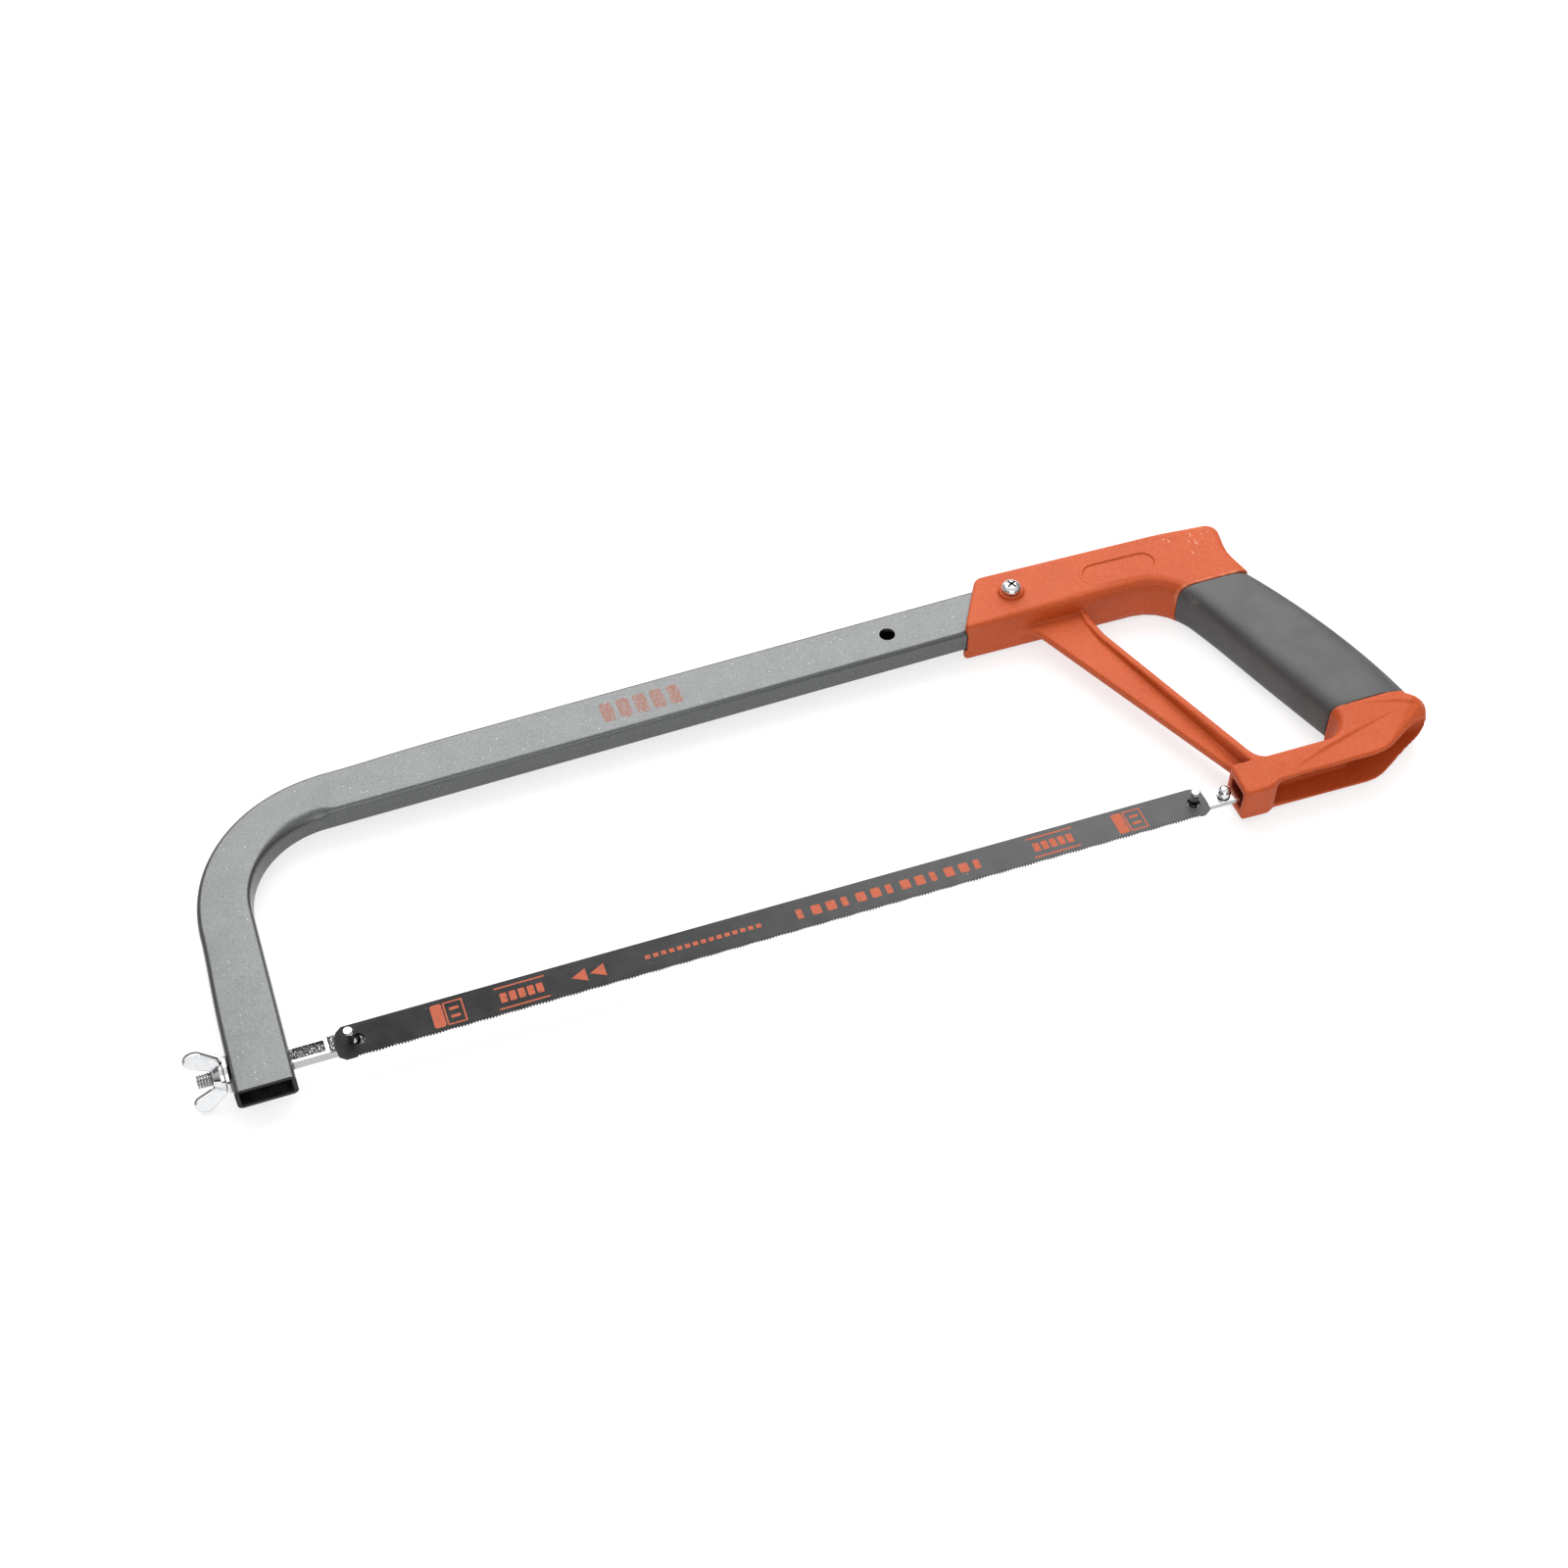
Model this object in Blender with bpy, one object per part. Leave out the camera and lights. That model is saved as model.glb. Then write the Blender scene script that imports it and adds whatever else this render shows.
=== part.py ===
"""A 300 mm hacksaw: bent rectangular tube frame, die-cast closed handle, tensioned blade.

The saw lies on its side. Saw frame, in millimetres: the origin is on the front blade pin, x runs
along the blade to the handle, y runs from the blade up to the spine, z is the thickness and
z = 0 is the middle of the tube. An empty moves this frame to the middle of the saw's underside.
"""

import math

import bmesh
import bpy
from mathutils import Matrix, Vector

MM = 0.001
GAP = 0.3  # between pieces that touch
THROUGH = 15.0  # half length of a cutter that passes right through

# Blade: 300 mm between hole centres, 24 teeth to the inch
HOLE_SPACING = 300.0
BLADE_WIDTH = 12.7
BLADE_THICK = 0.65
BLADE_HOLE = 4.6
BLADE_FRONT = 7.8  # from the front hole's centre to the blade's end
BLADE_REAR = 5.1
BLADE_CORNER = 4.6
TEETH_PER_INCH = 24
TOOTH_DEPTH = 0.75
TOOTH_START = -1.0
TOOTH_END = 301.0

# Blade pins
PIN_DIAMETER = 3.1
PIN_HEAD = 3.5
PIN_TOP = 8.4
PIN_SPACING = 300.9
PIN_BORE_PLAY = 0.15

# Tube frame
TUBE_WIDTH = 20.0
TUBE_THICK = 10.0
TUBE_CORNER = 2.0
TUBE_WALL = 1.4
LEG_OUTER_X = -41.55
LEG_END_Y = -9.0
SPINE_Y = 113.95  # outer face of the spine above the front pin
SPINE_RISE = math.radians(1.31)
SPINE_END = 285.0
BEND_OUTER = 58.0
BEND_INNER = 32.4  # bending pinches the tube
BEND_STEPS = 12
BEND_SAG = 1.1  # how far the outer face sinks where the bend starts and ends
SAG_SPREAD = 24.0
ADJUST_HOLE = 226.7  # along the spine
ADJUST_SPACING = 50.0  # from the free hole to the screw, for 250 mm blades
ADJUST_DIAMETER = 6.0

# Tensioner
DRAW_Y = 1.2
STUD_Y = 2.0  # the stud is flush with the bar's spine side
BAR_WIDTH = 6.4
DRAW_THICK = 4.0
DRAW_END = 4.6
DRAW_NECK = -31.0
STUD_DIAMETER = 4.8
STUD_END = -52.3
SEAT_STEP = 0.25  # the bars are thinned where the blade lies
SEAT_START = -8.6
RECESS_DEPTH = 0.8
WASHER_DIAMETER = 12.4
WASHER_THICK = 1.2
NUT_BORE = 5.3
NUT_LENGTH = 4.0
NUT_BASE = 9.4
NUT_TOP = 6.6
WING_REACH = 11.0
WING_THICK = 2.0
WING_TILT = math.radians(63.5)

# Rear holder
REAR_THICK = 2.5
REAR_TOP = 2.0
REAR_START = 296.4
REAR_END = 329.0
STUD_X = 312.7
STOP_DIAMETER = 4.8
STOP_TOP = 5.7
RETAINER_X = 324.6
RETAINER_DIAMETER = 3.0
RETAINER_FOOT = -7.3
RETAINER_TOP = 3.4

# Handle
HANDLE_HALF = 10.4
MOUTH_HALF = 9.1
RIM_HALF = 8.9
WEB_HALF = 1.7
PANEL_DEPTH = 0.6
NOSE_HALF = 7.5
CHANNEL_WALL = 1.9
CHANNEL_TIP = 397.6
TIP_START = 380.0  # from here the channel narrows to its tip
TIP_POWER = 2.4
ROOF_RISE = 364.0  # the channel gets deeper from here
ROOF_RUN = 14.0
SLEEVE_BOTTOM = 18.0
SLEEVE_TOP = 91.0
SLEEVE_WALL = 3.0
SLEEVE_BULGE = 3.4
NOSE_FACE = 318.0
NOSE_BACK = 331.3
NOSE_OPENING = 8.4
SOCKET_PLAY = 0.3
SCREW_HEAD = 7.4
SCREW_HEAD_HEIGHT = 3.0
SCREW_DIAMETER = 4.0
BOSS_DIAMETER = 9.4
BOSS_TOP = 10.9
REAR_BOSS_TOP = 10.2
HEX_ACROSS = 7.0
HEX_THICK = 3.2
HEX_POCKET = -6.3


def clear_scene():
    for item in list(bpy.data.objects):
        bpy.data.objects.remove(item, do_unlink=True)


def finish(name, colour, roughness, metallic):
    material = bpy.data.materials.new(name)
    material.use_nodes = True
    shader = material.node_tree.nodes["Principled BSDF"]
    shader.inputs["Base Color"].default_value = (*colour, 1.0)
    shader.inputs["Roughness"].default_value = roughness
    shader.inputs["Metallic"].default_value = metallic
    return material


def blend(low, high, amount):
    return low + (high - low) * min(1.0, max(0.0, amount))


# Shapes. Each maker returns a bmesh in millimetres.


def rounded(corners, steps=5):
    """Closed outline through (x, y, radius, inset, drop) corners, each turned by an arc.

    Inset and drop are the size of the soft edge at that corner; both may be left out.
    """
    outline = []
    count = len(corners)
    for index, corner in enumerate(corners):
        here = Vector(corner[:2])
        radius = corner[2] if len(corner) > 2 else 0.0
        edge = corner[3:5] if len(corner) > 4 else (0.0, 0.0)
        before = (Vector(corners[index - 1][:2]) - here).normalized()
        after = (Vector(corners[(index + 1) % count][:2]) - here).normalized()
        half_turn = (math.pi - before.angle(after)) / 2
        if radius == 0.0 or half_turn < 0.01:
            outline.append((here, edge))
            continue
        reach = radius * math.tan(half_turn)
        start = here + before * reach
        finish_point = here + after * reach
        centre = here + (before + after).normalized() * radius / math.cos(half_turn)
        sweep = (start - centre).angle_signed(finish_point - centre)
        used = max(1, round(steps * abs(sweep) / (math.pi / 2)))
        for step in range(used + 1):
            turn = Matrix.Rotation(-sweep * step / used, 2)
            outline.append((centre + turn @ (start - centre), edge))
    return outline


def inward(points):
    """Mitred inward direction at each point of a closed anticlockwise outline."""
    found = []
    for index, here in enumerate(points):
        behind = (here - points[index - 1]).normalized()
        ahead = (points[(index + 1) % len(points)] - here).normalized()
        first = Vector((-behind.y, behind.x))
        second = Vector((-ahead.y, ahead.x))
        middle = (first + second).normalized()
        found.append(middle / max(0.5, middle.dot(first)))
    return found


def anticlockwise(outline):
    area = 0.0
    for index, (here, _) in enumerate(outline):
        last = outline[index - 1][0]
        area += last.x * here.y - here.x * last.y
    return outline if area > 0 else outline[::-1]


def loft(rings, hollow=False):
    """Skin between rings of equal length; hollow joins the last ring back to the first."""
    shape = bmesh.new()
    made = [[shape.verts.new(point) for point in ring] for ring in rings]
    pairs = list(zip(made, made[1:]))
    if hollow:
        pairs.append((made[-1], made[0]))
    for low, high in pairs:
        for index in range(len(low)):
            after = (index + 1) % len(low)
            shape.faces.new((low[index], low[after], high[after], high[index]))
    if not hollow:
        shape.faces.new(made[0][::-1])
        shape.faces.new(made[-1])
    shape.normal_update()
    bmesh.ops.triangulate(shape, faces=shape.faces[:], quad_method="SHORT_EDGE", ngon_method="EAR_CLIP")
    bmesh.ops.recalc_face_normals(shape, faces=shape.faces[:])
    return shape


def slab(corners, half, steps=5, edge_steps=3):
    """Flat body of varying thickness whose rims are rounded by each corner's inset and drop."""
    outline = anticlockwise(rounded(corners, steps))
    points = [point for point, _ in outline]
    normals = inward(points)
    rings = []
    for side in (-1, 1):
        ladder = []
        for step in range(edge_steps + 1):
            angle = math.pi / 2 * step / edge_steps
            ring = []
            for (point, (inset, drop)), normal in zip(outline, normals):
                moved = point + normal * inset * (1 - math.cos(angle))
                height = half(point.x, point.y) - drop * (1 - math.sin(angle))
                ring.append(Vector((moved.x, moved.y, side * height)))
            ladder.append(ring)
        soft = any(edge != (0.0, 0.0) for _, edge in outline)
        ladder = ladder if soft else ladder[-1:]
        rings += ladder[::-1] if side < 0 else ladder
    return loft(rings)


def prism(corners, low, high, steps=5):
    outline = anticlockwise(rounded(corners, steps))
    return loft([[Vector((point.x, point.y, z)) for point, _ in outline] for z in (low, high)])


def lathe(profile, sides=32):
    """Turns (radius, height) steps about z, closed on the axis by flat ends."""
    rings = []
    for radius, height in profile:
        ring = []
        for side in range(sides):
            angle = math.tau * side / sides
            ring.append(Vector((radius * math.cos(angle), radius * math.sin(angle), height)))
        rings.append(ring)
    return loft(rings)


def washer_shape(outer, bore, low, high, sides=32):
    rings = []
    for radius, height in ((bore, low), (bore, high), (outer, high), (outer, low)):
        ring = []
        for side in range(sides):
            angle = math.tau * side / sides
            ring.append(Vector((radius * math.cos(angle), radius * math.sin(angle), height)))
        rings.append(ring)
    return loft(rings, hollow=True)


def box(low, high):
    shape = bmesh.new()
    bmesh.ops.create_cube(shape, size=1.0)
    size = Vector(high) - Vector(low)
    middle = (Vector(high) + Vector(low)) / 2
    bmesh.ops.transform(shape, matrix=Matrix.Diagonal((*size, 1)), verts=shape.verts)
    bmesh.ops.translate(shape, vec=middle, verts=shape.verts)
    return shape


def rod(x, y, diameter, low, high, sides=24):
    """Cylinder along z."""
    shape = lathe([(diameter / 2, low), (diameter / 2, high)], sides)
    bmesh.ops.translate(shape, vec=(x, y, 0), verts=shape.verts)
    return shape


def moved(shape, matrix):
    bmesh.ops.transform(shape, matrix=matrix, verts=shape.verts)
    return shape


def add(name, shape, origin=(0, 0, 0), material=None):
    """Makes an object of a shape, with its origin at the given place in the saw frame."""
    bmesh.ops.translate(shape, vec=-Vector(origin), verts=shape.verts)
    bmesh.ops.scale(shape, vec=(MM, MM, MM), verts=shape.verts)
    mesh = bpy.data.meshes.new(name)
    shape.to_mesh(mesh)
    shape.free()
    item = bpy.data.objects.new(name, mesh)
    bpy.context.scene.collection.objects.link(item)
    item.location = Vector(origin) * MM
    if material:
        mesh.materials.append(material)
        item.parent = SAW
    return item


def combine(body, operation, *shapes):
    """Boolean each shape into or out of the body and keep the result as its mesh."""
    for shape in shapes:
        tool = add("tool", shape)
        tool.parent = SAW
        modifier = body.modifiers.new("combine", "BOOLEAN")
        modifier.operation = operation
        modifier.object = tool
        bpy.context.view_layer.update()
        graph = bpy.context.evaluated_depsgraph_get()
        mesh = bpy.data.meshes.new_from_object(body.evaluated_get(graph))
        body.modifiers.clear()
        body.data = mesh
        bpy.data.objects.remove(tool, do_unlink=True)
    return body


def smooth(item, degrees=35):
    item.data.shade_smooth()
    item.data.set_sharp_from_angle(angle=math.radians(degrees))


# Frame tube


def spine_point(along, across):
    """A point along the spine from above the front pin, and across from its outer face."""
    run = Vector((math.cos(SPINE_RISE), math.sin(SPINE_RISE)))
    side = Vector((-run.y, run.x))
    return Vector((0.0, SPINE_Y)) + run * along + side * across


def tube_stations():
    """Outer and inner edge points of the tube from the leg's end to the spine's end."""
    leg_inner_x = LEG_OUTER_X + TUBE_WIDTH
    drop = TUBE_WIDTH / math.cos(SPINE_RISE)
    centres = []
    for radius, leg_x, spine_y in (
        (BEND_OUTER, LEG_OUTER_X, SPINE_Y),
        (BEND_INNER, leg_inner_x, SPINE_Y - drop),
    ):
        x = leg_x + radius
        y = spine_y + x * math.tan(SPINE_RISE) - radius / math.cos(SPINE_RISE)
        centres.append(Vector((x, y)))
    turn = math.pi / 2 - SPINE_RISE
    bend_length = BEND_OUTER * turn

    def station(run, outer, inner):
        """Sinks the outer face near both ends of the bend; run is measured from its start."""
        sag = math.exp(-((run / SAG_SPREAD) ** 2)) + math.exp(-(((run - bend_length) / SAG_SPREAD) ** 2))
        return outer + (inner - outer).normalized() * BEND_SAG * sag, inner

    stations = [station(-99.0, Vector((LEG_OUTER_X, LEG_END_Y)), Vector((leg_inner_x, LEG_END_Y)))]
    straights = (12.0, 24.0, 38.0)
    for run in reversed(straights):
        y = centres[0].y - run
        stations.append(station(-run, Vector((LEG_OUTER_X, y)), Vector((leg_inner_x, y))))
    for step in range(BEND_STEPS + 1):
        angle = turn * step / BEND_STEPS
        arm = Vector((-math.cos(angle), math.sin(angle)))
        outer = centres[0] + arm * BEND_OUTER
        stations.append(station(angle * BEND_OUTER, outer, centres[1] + arm * BEND_INNER))
    for run in straights:
        along = centres[0].x + run
        stations.append(station(bend_length + run, spine_point(along, 0), spine_point(along, -TUBE_WIDTH)))
    stations.append((spine_point(SPINE_END, 0), spine_point(SPINE_END, -TUBE_WIDTH)))
    return stations


def tube_ring(station, inset, thick=TUBE_THICK, corner=TUBE_CORNER):
    """Rounded rectangle across the tube, drawn in by inset on every side."""
    outer, inner = station
    width = (outer - inner).length
    across = (outer - inner).normalized()
    middle = (outer + inner) / 2
    radius = max(0.4, corner - inset)
    half_width = width / 2 - inset
    half_thick = thick / 2 - inset
    corners = [(s * half_width, t * half_thick, radius) for s, t in ((1, 1), (-1, 1), (-1, -1), (1, -1))]
    ring = []
    for point, _ in rounded(corners, 3):
        flat = middle + across * point.x
        ring.append(Vector((flat.x, flat.y, point.y)))
    return ring


def make_tube():
    stations = tube_stations()
    outside = [tube_ring(station, 0) for station in stations]
    inside = [tube_ring(station, TUBE_WALL) for station in reversed(stations)]
    tube = add("frame_tube", loft(outside + inside, hollow=True), material=GREY_PAINT)
    holes = []
    for along in (ADJUST_HOLE, ADJUST_HOLE + ADJUST_SPACING):
        place = spine_point(along, -TUBE_WIDTH / 2)
        holes.append(rod(place.x, place.y, ADJUST_DIAMETER, -THROUGH, THROUGH))
    half_wide = BAR_WIDTH / 2 + GAP
    half_thick = DRAW_THICK / 2 + GAP
    leg_inner_x = LEG_OUTER_X + TUBE_WIDTH
    slot = box(
        (leg_inner_x - 4, DRAW_Y - half_wide, -half_thick),
        (leg_inner_x + 4, DRAW_Y + half_wide, half_thick),
    )
    stud_hole = rod(0, 0, STUD_DIAMETER + 2 * GAP, -5, 5)
    turned = Matrix.Translation((LEG_OUTER_X, STUD_Y, 0)) @ Matrix.Rotation(math.pi / 2, 4, "Y")
    combine(tube, "DIFFERENCE", *holes, slot, moved(stud_hole, turned))
    smooth(tube)


# Handle casting


def handle_half(x, y):
    """Half thickness of the casting: it tapers to the tube's mouth, the rim and the nose."""
    if y > 55:
        return blend(MOUTH_HALF, HANDLE_HALF, (x - 254) / 63)
    rear = blend(RIM_HALF, HANDLE_HALF, (y + 4) / 22)
    return rear - blend(RIM_HALF - NOSE_HALF, 0, (x - NOSE_FACE) / 27)


def handle_body():
    """The casting without its strut: top bar, back, heel, lower bar and nose."""
    return slab(
        [
            (253.8, 99.0, 1.5, 1.3, 1.3),
            (267.0, 122.2, 4.0, 2.0, 2.0),
            (341.0, 120.4, 120.0, 2.2, 2.2),
            (365.8, 118.9, 5.0, 3.0, 2.6),
            (363.2, 103.0, 16.0, 3.0, 2.6),
            (366.4, 91.2, 0.0, 3.2, 3.0),
            (396.0, 18.6, 0.0, 9.5, 8.4),
            (402.4, 9.0, 7.0, 7.0, 8.0),
            (373.0, -4.8, 16.0, 1.2, 1.2),
            (331.8, -4.5, 1.0, 0.8, 0.8),
            (328.6, -6.4, 2.0, 1.2, 1.2),
            (318.0, -6.4, 1.1, 1.0, 1.0),
            (318.0, 7.2, 1.1, 1.0, 1.0),
            (366.7, 7.2, 8.0, 3.0, 4.0),
            (336.3, 97.4, 18.0, 4.0, 5.0),
        ],
        handle_half,
        steps=6,
    )


def strut_web():
    """Thin web of the knuckle guard, from the top bar to the nose."""
    return slab(
        [
            (262.0, 103.0, 0.0),
            (262.0, 98.9, 0.0),
            (280.6, 98.4, 10.0, 0.5, 0.5),
            (321.4, 9.2, 0.0, 0.5, 0.5),
            (322.6, 4.0, 0.0),
            (332.0, 4.0, 0.0),
            (321.6, 28.0, 0.0),
            (302.0, 88.0, 20.0),
            (301.6, 103.0, 0.0),
        ],
        lambda x, y: WEB_HALF,
        edge_steps=2,
    )


def strut_flange():
    """Raised finger-side flange of the knuckle guard, lower at the top bar than at the nose."""
    return slab(
        [
            (302.9, 101.0, 0.0, 0.9, 0.9),
            (303.0, 88.4, 30.0, 0.9, 0.9),
            (329.4, 7.1, 7.0, 0.9, 0.9),
            (342.0, 7.1, 0.0, 0.9, 0.9),
            (342.0, 3.0, 0.0, 0.9, 0.9),
            (327.6, 3.0, 0.0, 0.9, 0.9),
            (300.3, 88.0, 30.0, 0.9, 0.9),
            (300.2, 101.0, 0.0, 0.9, 0.9),
        ],
        lambda x, y: blend(7.6, 2.8, (y - 10) / 85),
    )


def channel_cut():
    """Hollow of the lower bar, open towards the blade; boat-shaped, its roof rising in the heel."""
    widest = RIM_HALF - CHANNEL_WALL
    stations = [NOSE_BACK, NOSE_BACK + 0.5, NOSE_BACK + 1.6, 344.0, ROOF_RISE]
    stations += [ROOF_RISE + ROOF_RUN * step / 4 for step in range(1, 5)]
    for step in range(1, 11):
        stations.append(TIP_START + (CHANNEL_TIP - TIP_START) * math.sin(math.pi / 2 * step / 10))
    rings = []
    for x in stations:
        rounding = blend(1.0, 0.0, (x - NOSE_BACK) / 1.6)
        reach = max(0.0, (x - TIP_START) / (CHANNEL_TIP - TIP_START))
        half = widest * (1 - reach**TIP_POWER) ** (1 / TIP_POWER)
        half = max(0.5, half - blend(0.8, 0.0, (x - NOSE_BACK) / 13) - rounding)
        roof = blend(4.3, 13.5, (x - ROOF_RISE) / ROOF_RUN) - blend(0, 5.5, (x - 387) / 12) - rounding
        soft = min(1.6, half * 0.6)
        ring = []
        for side in (-1, 1):
            wall = [(-14.0, 0.0), (roof - soft, 0.0), (roof - 0.3 * soft, 0.3 * soft), (roof, soft)]
            for y, inset in wall if side < 0 else wall[::-1]:
                ring.append(Vector((x, y, side * (half - inset))))
        rings.append(ring)
    return loft(rings)


def socket_cut():
    """Pocket for the tube, then a run behind it that takes the tube at the 250 mm setting."""
    near = (spine_point(240, SOCKET_PLAY), spine_point(240, -TUBE_WIDTH - SOCKET_PLAY))
    far_end = SPINE_END + 1
    far = (spine_point(far_end, SOCKET_PLAY), spine_point(far_end, -TUBE_WIDTH - SOCKET_PLAY))
    thick = TUBE_THICK + 2 * SOCKET_PLAY
    return loft([tube_ring(near, 0, thick), tube_ring(far, 0, thick)])


def socket_run():
    half = TUBE_THICK / 2 + SOCKET_PLAY
    return prism([(284.0, 120.2), (338.0, 118.9), (338.0, 98.7), (284.0, 100.0)], -half, half)


def grip_ring(y, inset, sides=28):
    """Section of the grip at one height: square-shouldered in front, rounder behind."""
    amount = (y - SLEEVE_BOTTOM) / (SLEEVE_TOP - SLEEVE_BOTTOM)
    flare = 1.6 * max(0.0, (y - 84) / 7) ** 2
    front = blend(363.1, 338.2, amount) - flare + inset
    back = blend(396.4, 366.3, amount) - inset
    back += SLEEVE_BULGE * 4 * amount * (1 - amount)
    half = HANDLE_HALF - inset
    front_power = 2 / blend(3.4, 4.5, amount)
    back_power = 2 / blend(2.4, 5.0, amount)
    ring = []
    for side in range(sides):
        angle = math.tau * side / sides
        power = back_power if math.cos(angle) > 0 else front_power
        wide = math.copysign(abs(math.cos(angle)) ** power, math.cos(angle))
        high = math.copysign(abs(math.sin(angle)) ** power, math.sin(angle))
        ring.append(Vector(((front + back) / 2 + (back - front) / 2 * wide, y, half * high)))
    return ring


def grip_heights(steps=8):
    """Section heights from the sleeve's lower end to its upper end."""
    low, high = SLEEVE_BOTTOM + GAP, SLEEVE_TOP - GAP
    return [low + (high - low) * step / steps for step in range(steps + 1)]


def hexagon(across, centre):
    """Sharp corners of a hexagon with the given width across its flats."""
    radius = across / 2 / math.cos(math.pi / 6)
    turns = [math.tau * corner / 6 for corner in range(6)]
    return [(centre.x + radius * math.cos(turn), centre.y + radius * math.sin(turn), 0.0) for turn in turns]


def stadium_cut(side):
    """Shallow sunk panel on a face of the top bar."""
    low = HANDLE_HALF - PANEL_DEPTH - SEAT_STEP
    corners = [(305.8, 113.0, 4.7), (334.6, 112.4, 4.7), (334.4, 103.0, 4.7), (305.6, 103.6, 4.7)]
    return prism(corners, *sorted((side * low, side * (HANDLE_HALF + 3))))


def make_handle():
    screw = spine_point(ADJUST_HOLE + ADJUST_SPACING, -TUBE_WIDTH / 2)
    casting = add("handle_casting", handle_body(), material=ORANGE_COAT)
    clear = box((330, SLEEVE_BOTTOM, -THROUGH), (410, SLEEVE_TOP, THROUGH))
    combine(casting, "DIFFERENCE", clear)
    heights = [SLEEVE_BOTTOM - 4, *grip_heights(), SLEEVE_TOP + 4]
    core = loft([grip_ring(y, SLEEVE_WALL) for y in heights])
    front_boss = rod(screw.x, screw.y, BOSS_DIAMETER, 6, BOSS_TOP, 28)
    rear_boss = rod(screw.x, screw.y, BOSS_DIAMETER + 3, -REAR_BOSS_TOP, -6, 28)
    combine(casting, "UNION", core, strut_web(), strut_flange(), front_boss, rear_boss)
    pocket = prism(hexagon(HEX_ACROSS + 0.5, screw), -THROUGH, HEX_POCKET)
    opening = NOSE_OPENING / 2
    nose = box((NOSE_FACE - 5, 0.4 - opening, -opening), (REAR_END + GAP, 0.4 + opening, opening))
    retainer = rod(RETAINER_X, 0, RETAINER_DIAMETER + 2 * PIN_BORE_PLAY, -THROUGH, 0)
    combine(
        casting,
        "DIFFERENCE",
        socket_cut(),
        socket_run(),
        channel_cut(),
        nose,
        retainer,
        rod(screw.x, screw.y, SCREW_DIAMETER + 2 * GAP, -THROUGH, THROUGH),
        pocket,
        stadium_cut(1),
        stadium_cut(-1),
    )
    smooth(casting)


def make_sleeve():
    heights = grip_heights()
    outside = [grip_ring(y, 0) for y in heights]
    inside = [grip_ring(y, SLEEVE_WALL - GAP) for y in reversed(heights)]
    smooth(add("grip_sleeve", loft(outside + inside, hollow=True), material=GREY_RUBBER))


# Fasteners


def make_handle_screw():
    place = spine_point(ADJUST_HOLE + ADJUST_SPACING, -TUBE_WIDTH / 2)
    base = BOSS_TOP + GAP / 2
    head = SCREW_HEAD / 2
    tip = HEX_POCKET - HEX_THICK - 0.2
    profile = [
        (SCREW_DIAMETER / 2, tip),
        (SCREW_DIAMETER / 2, base),
        (head, base),
        (head, base + 0.9),
        (head * 0.93, base + 1.6),
        (head * 0.72, base + 2.2),
        (head * 0.4, base + SCREW_HEAD_HEIGHT),
    ]
    shape = moved(lathe(profile), Matrix.Translation((place.x, place.y, 0)))
    screw = add("handle_screw", shape, material=BRIGHT_ZINC)
    top = base + SCREW_HEAD_HEIGHT
    slots = []
    for turn in (0.5, 0.5 + math.pi / 2):
        slot = box((-2.1, -0.45, top - 1.3), (2.1, 0.45, top + 1))
        spin = Matrix.Translation((place.x, place.y, 0)) @ Matrix.Rotation(turn, 4, "Z")
        slots.append(moved(slot, spin))
    combine(screw, "DIFFERENCE", *slots)
    smooth(screw)
    nut_top = HEX_POCKET - GAP / 2
    hexagonal = prism(hexagon(HEX_ACROSS, place), nut_top - HEX_THICK, nut_top)
    nut = add("handle_nut", hexagonal, material=BRIGHT_ZINC)
    combine(nut, "DIFFERENCE", rod(place.x, place.y, SCREW_DIAMETER + GAP, -THROUGH, 0))
    smooth(nut)


def pin_profile(low):
    """Blade pin from its foot in the bar to a slightly wider, rounded head."""
    shank = PIN_DIAMETER / 2
    head = PIN_HEAD / 2
    return [
        (shank, low),
        (shank, PIN_TOP - 1.3),
        (head, PIN_TOP - 0.9),
        (head, PIN_TOP - 0.35),
        (head - 0.4, PIN_TOP),
    ]


def make_tensioner():
    half_wide = BAR_WIDTH / 2
    half_thick = DRAW_THICK / 2
    axis = (0, STUD_Y, 0)
    bar = add(
        "draw_bar",
        prism(
            [
                (DRAW_NECK, DRAW_Y - half_wide, 0.6),
                (DRAW_END, DRAW_Y - half_wide, 2.6),
                (DRAW_END, DRAW_Y + half_wide, 2.6),
                (DRAW_NECK, DRAW_Y + half_wide, 0.6),
            ],
            -half_thick,
            half_thick,
        ),
        origin=axis,
        material=BRIGHT_ZINC,
    )
    stud = lathe([(STUD_DIAMETER / 2 - 0.4, STUD_END), (STUD_DIAMETER / 2, STUD_END + 0.4),
                  (STUD_DIAMETER / 2, DRAW_NECK + 2)], 24)
    along_x = Matrix.Translation((0, STUD_Y, 0)) @ Matrix.Rotation(math.pi / 2, 4, "Y")
    combine(bar, "UNION", moved(stud, along_x))
    recess = box((-20.4, DRAW_Y - 2.2, half_thick - RECESS_DEPTH), (-10.2, DRAW_Y + 2.2, THROUGH))
    seat = box((SEAT_START, -THROUGH, half_thick - SEAT_STEP), (DRAW_END + 2, THROUGH, THROUGH))
    bore = rod(0, 0, PIN_DIAMETER + 2 * PIN_BORE_PLAY, -THROUGH, THROUGH)
    combine(bar, "DIFFERENCE", recess, seat, bore)
    smooth(bar)
    foot = -half_thick
    pin = add("front_blade_pin", lathe(pin_profile(foot), 24), material=BRIGHT_ZINC)
    smooth(pin)


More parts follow.
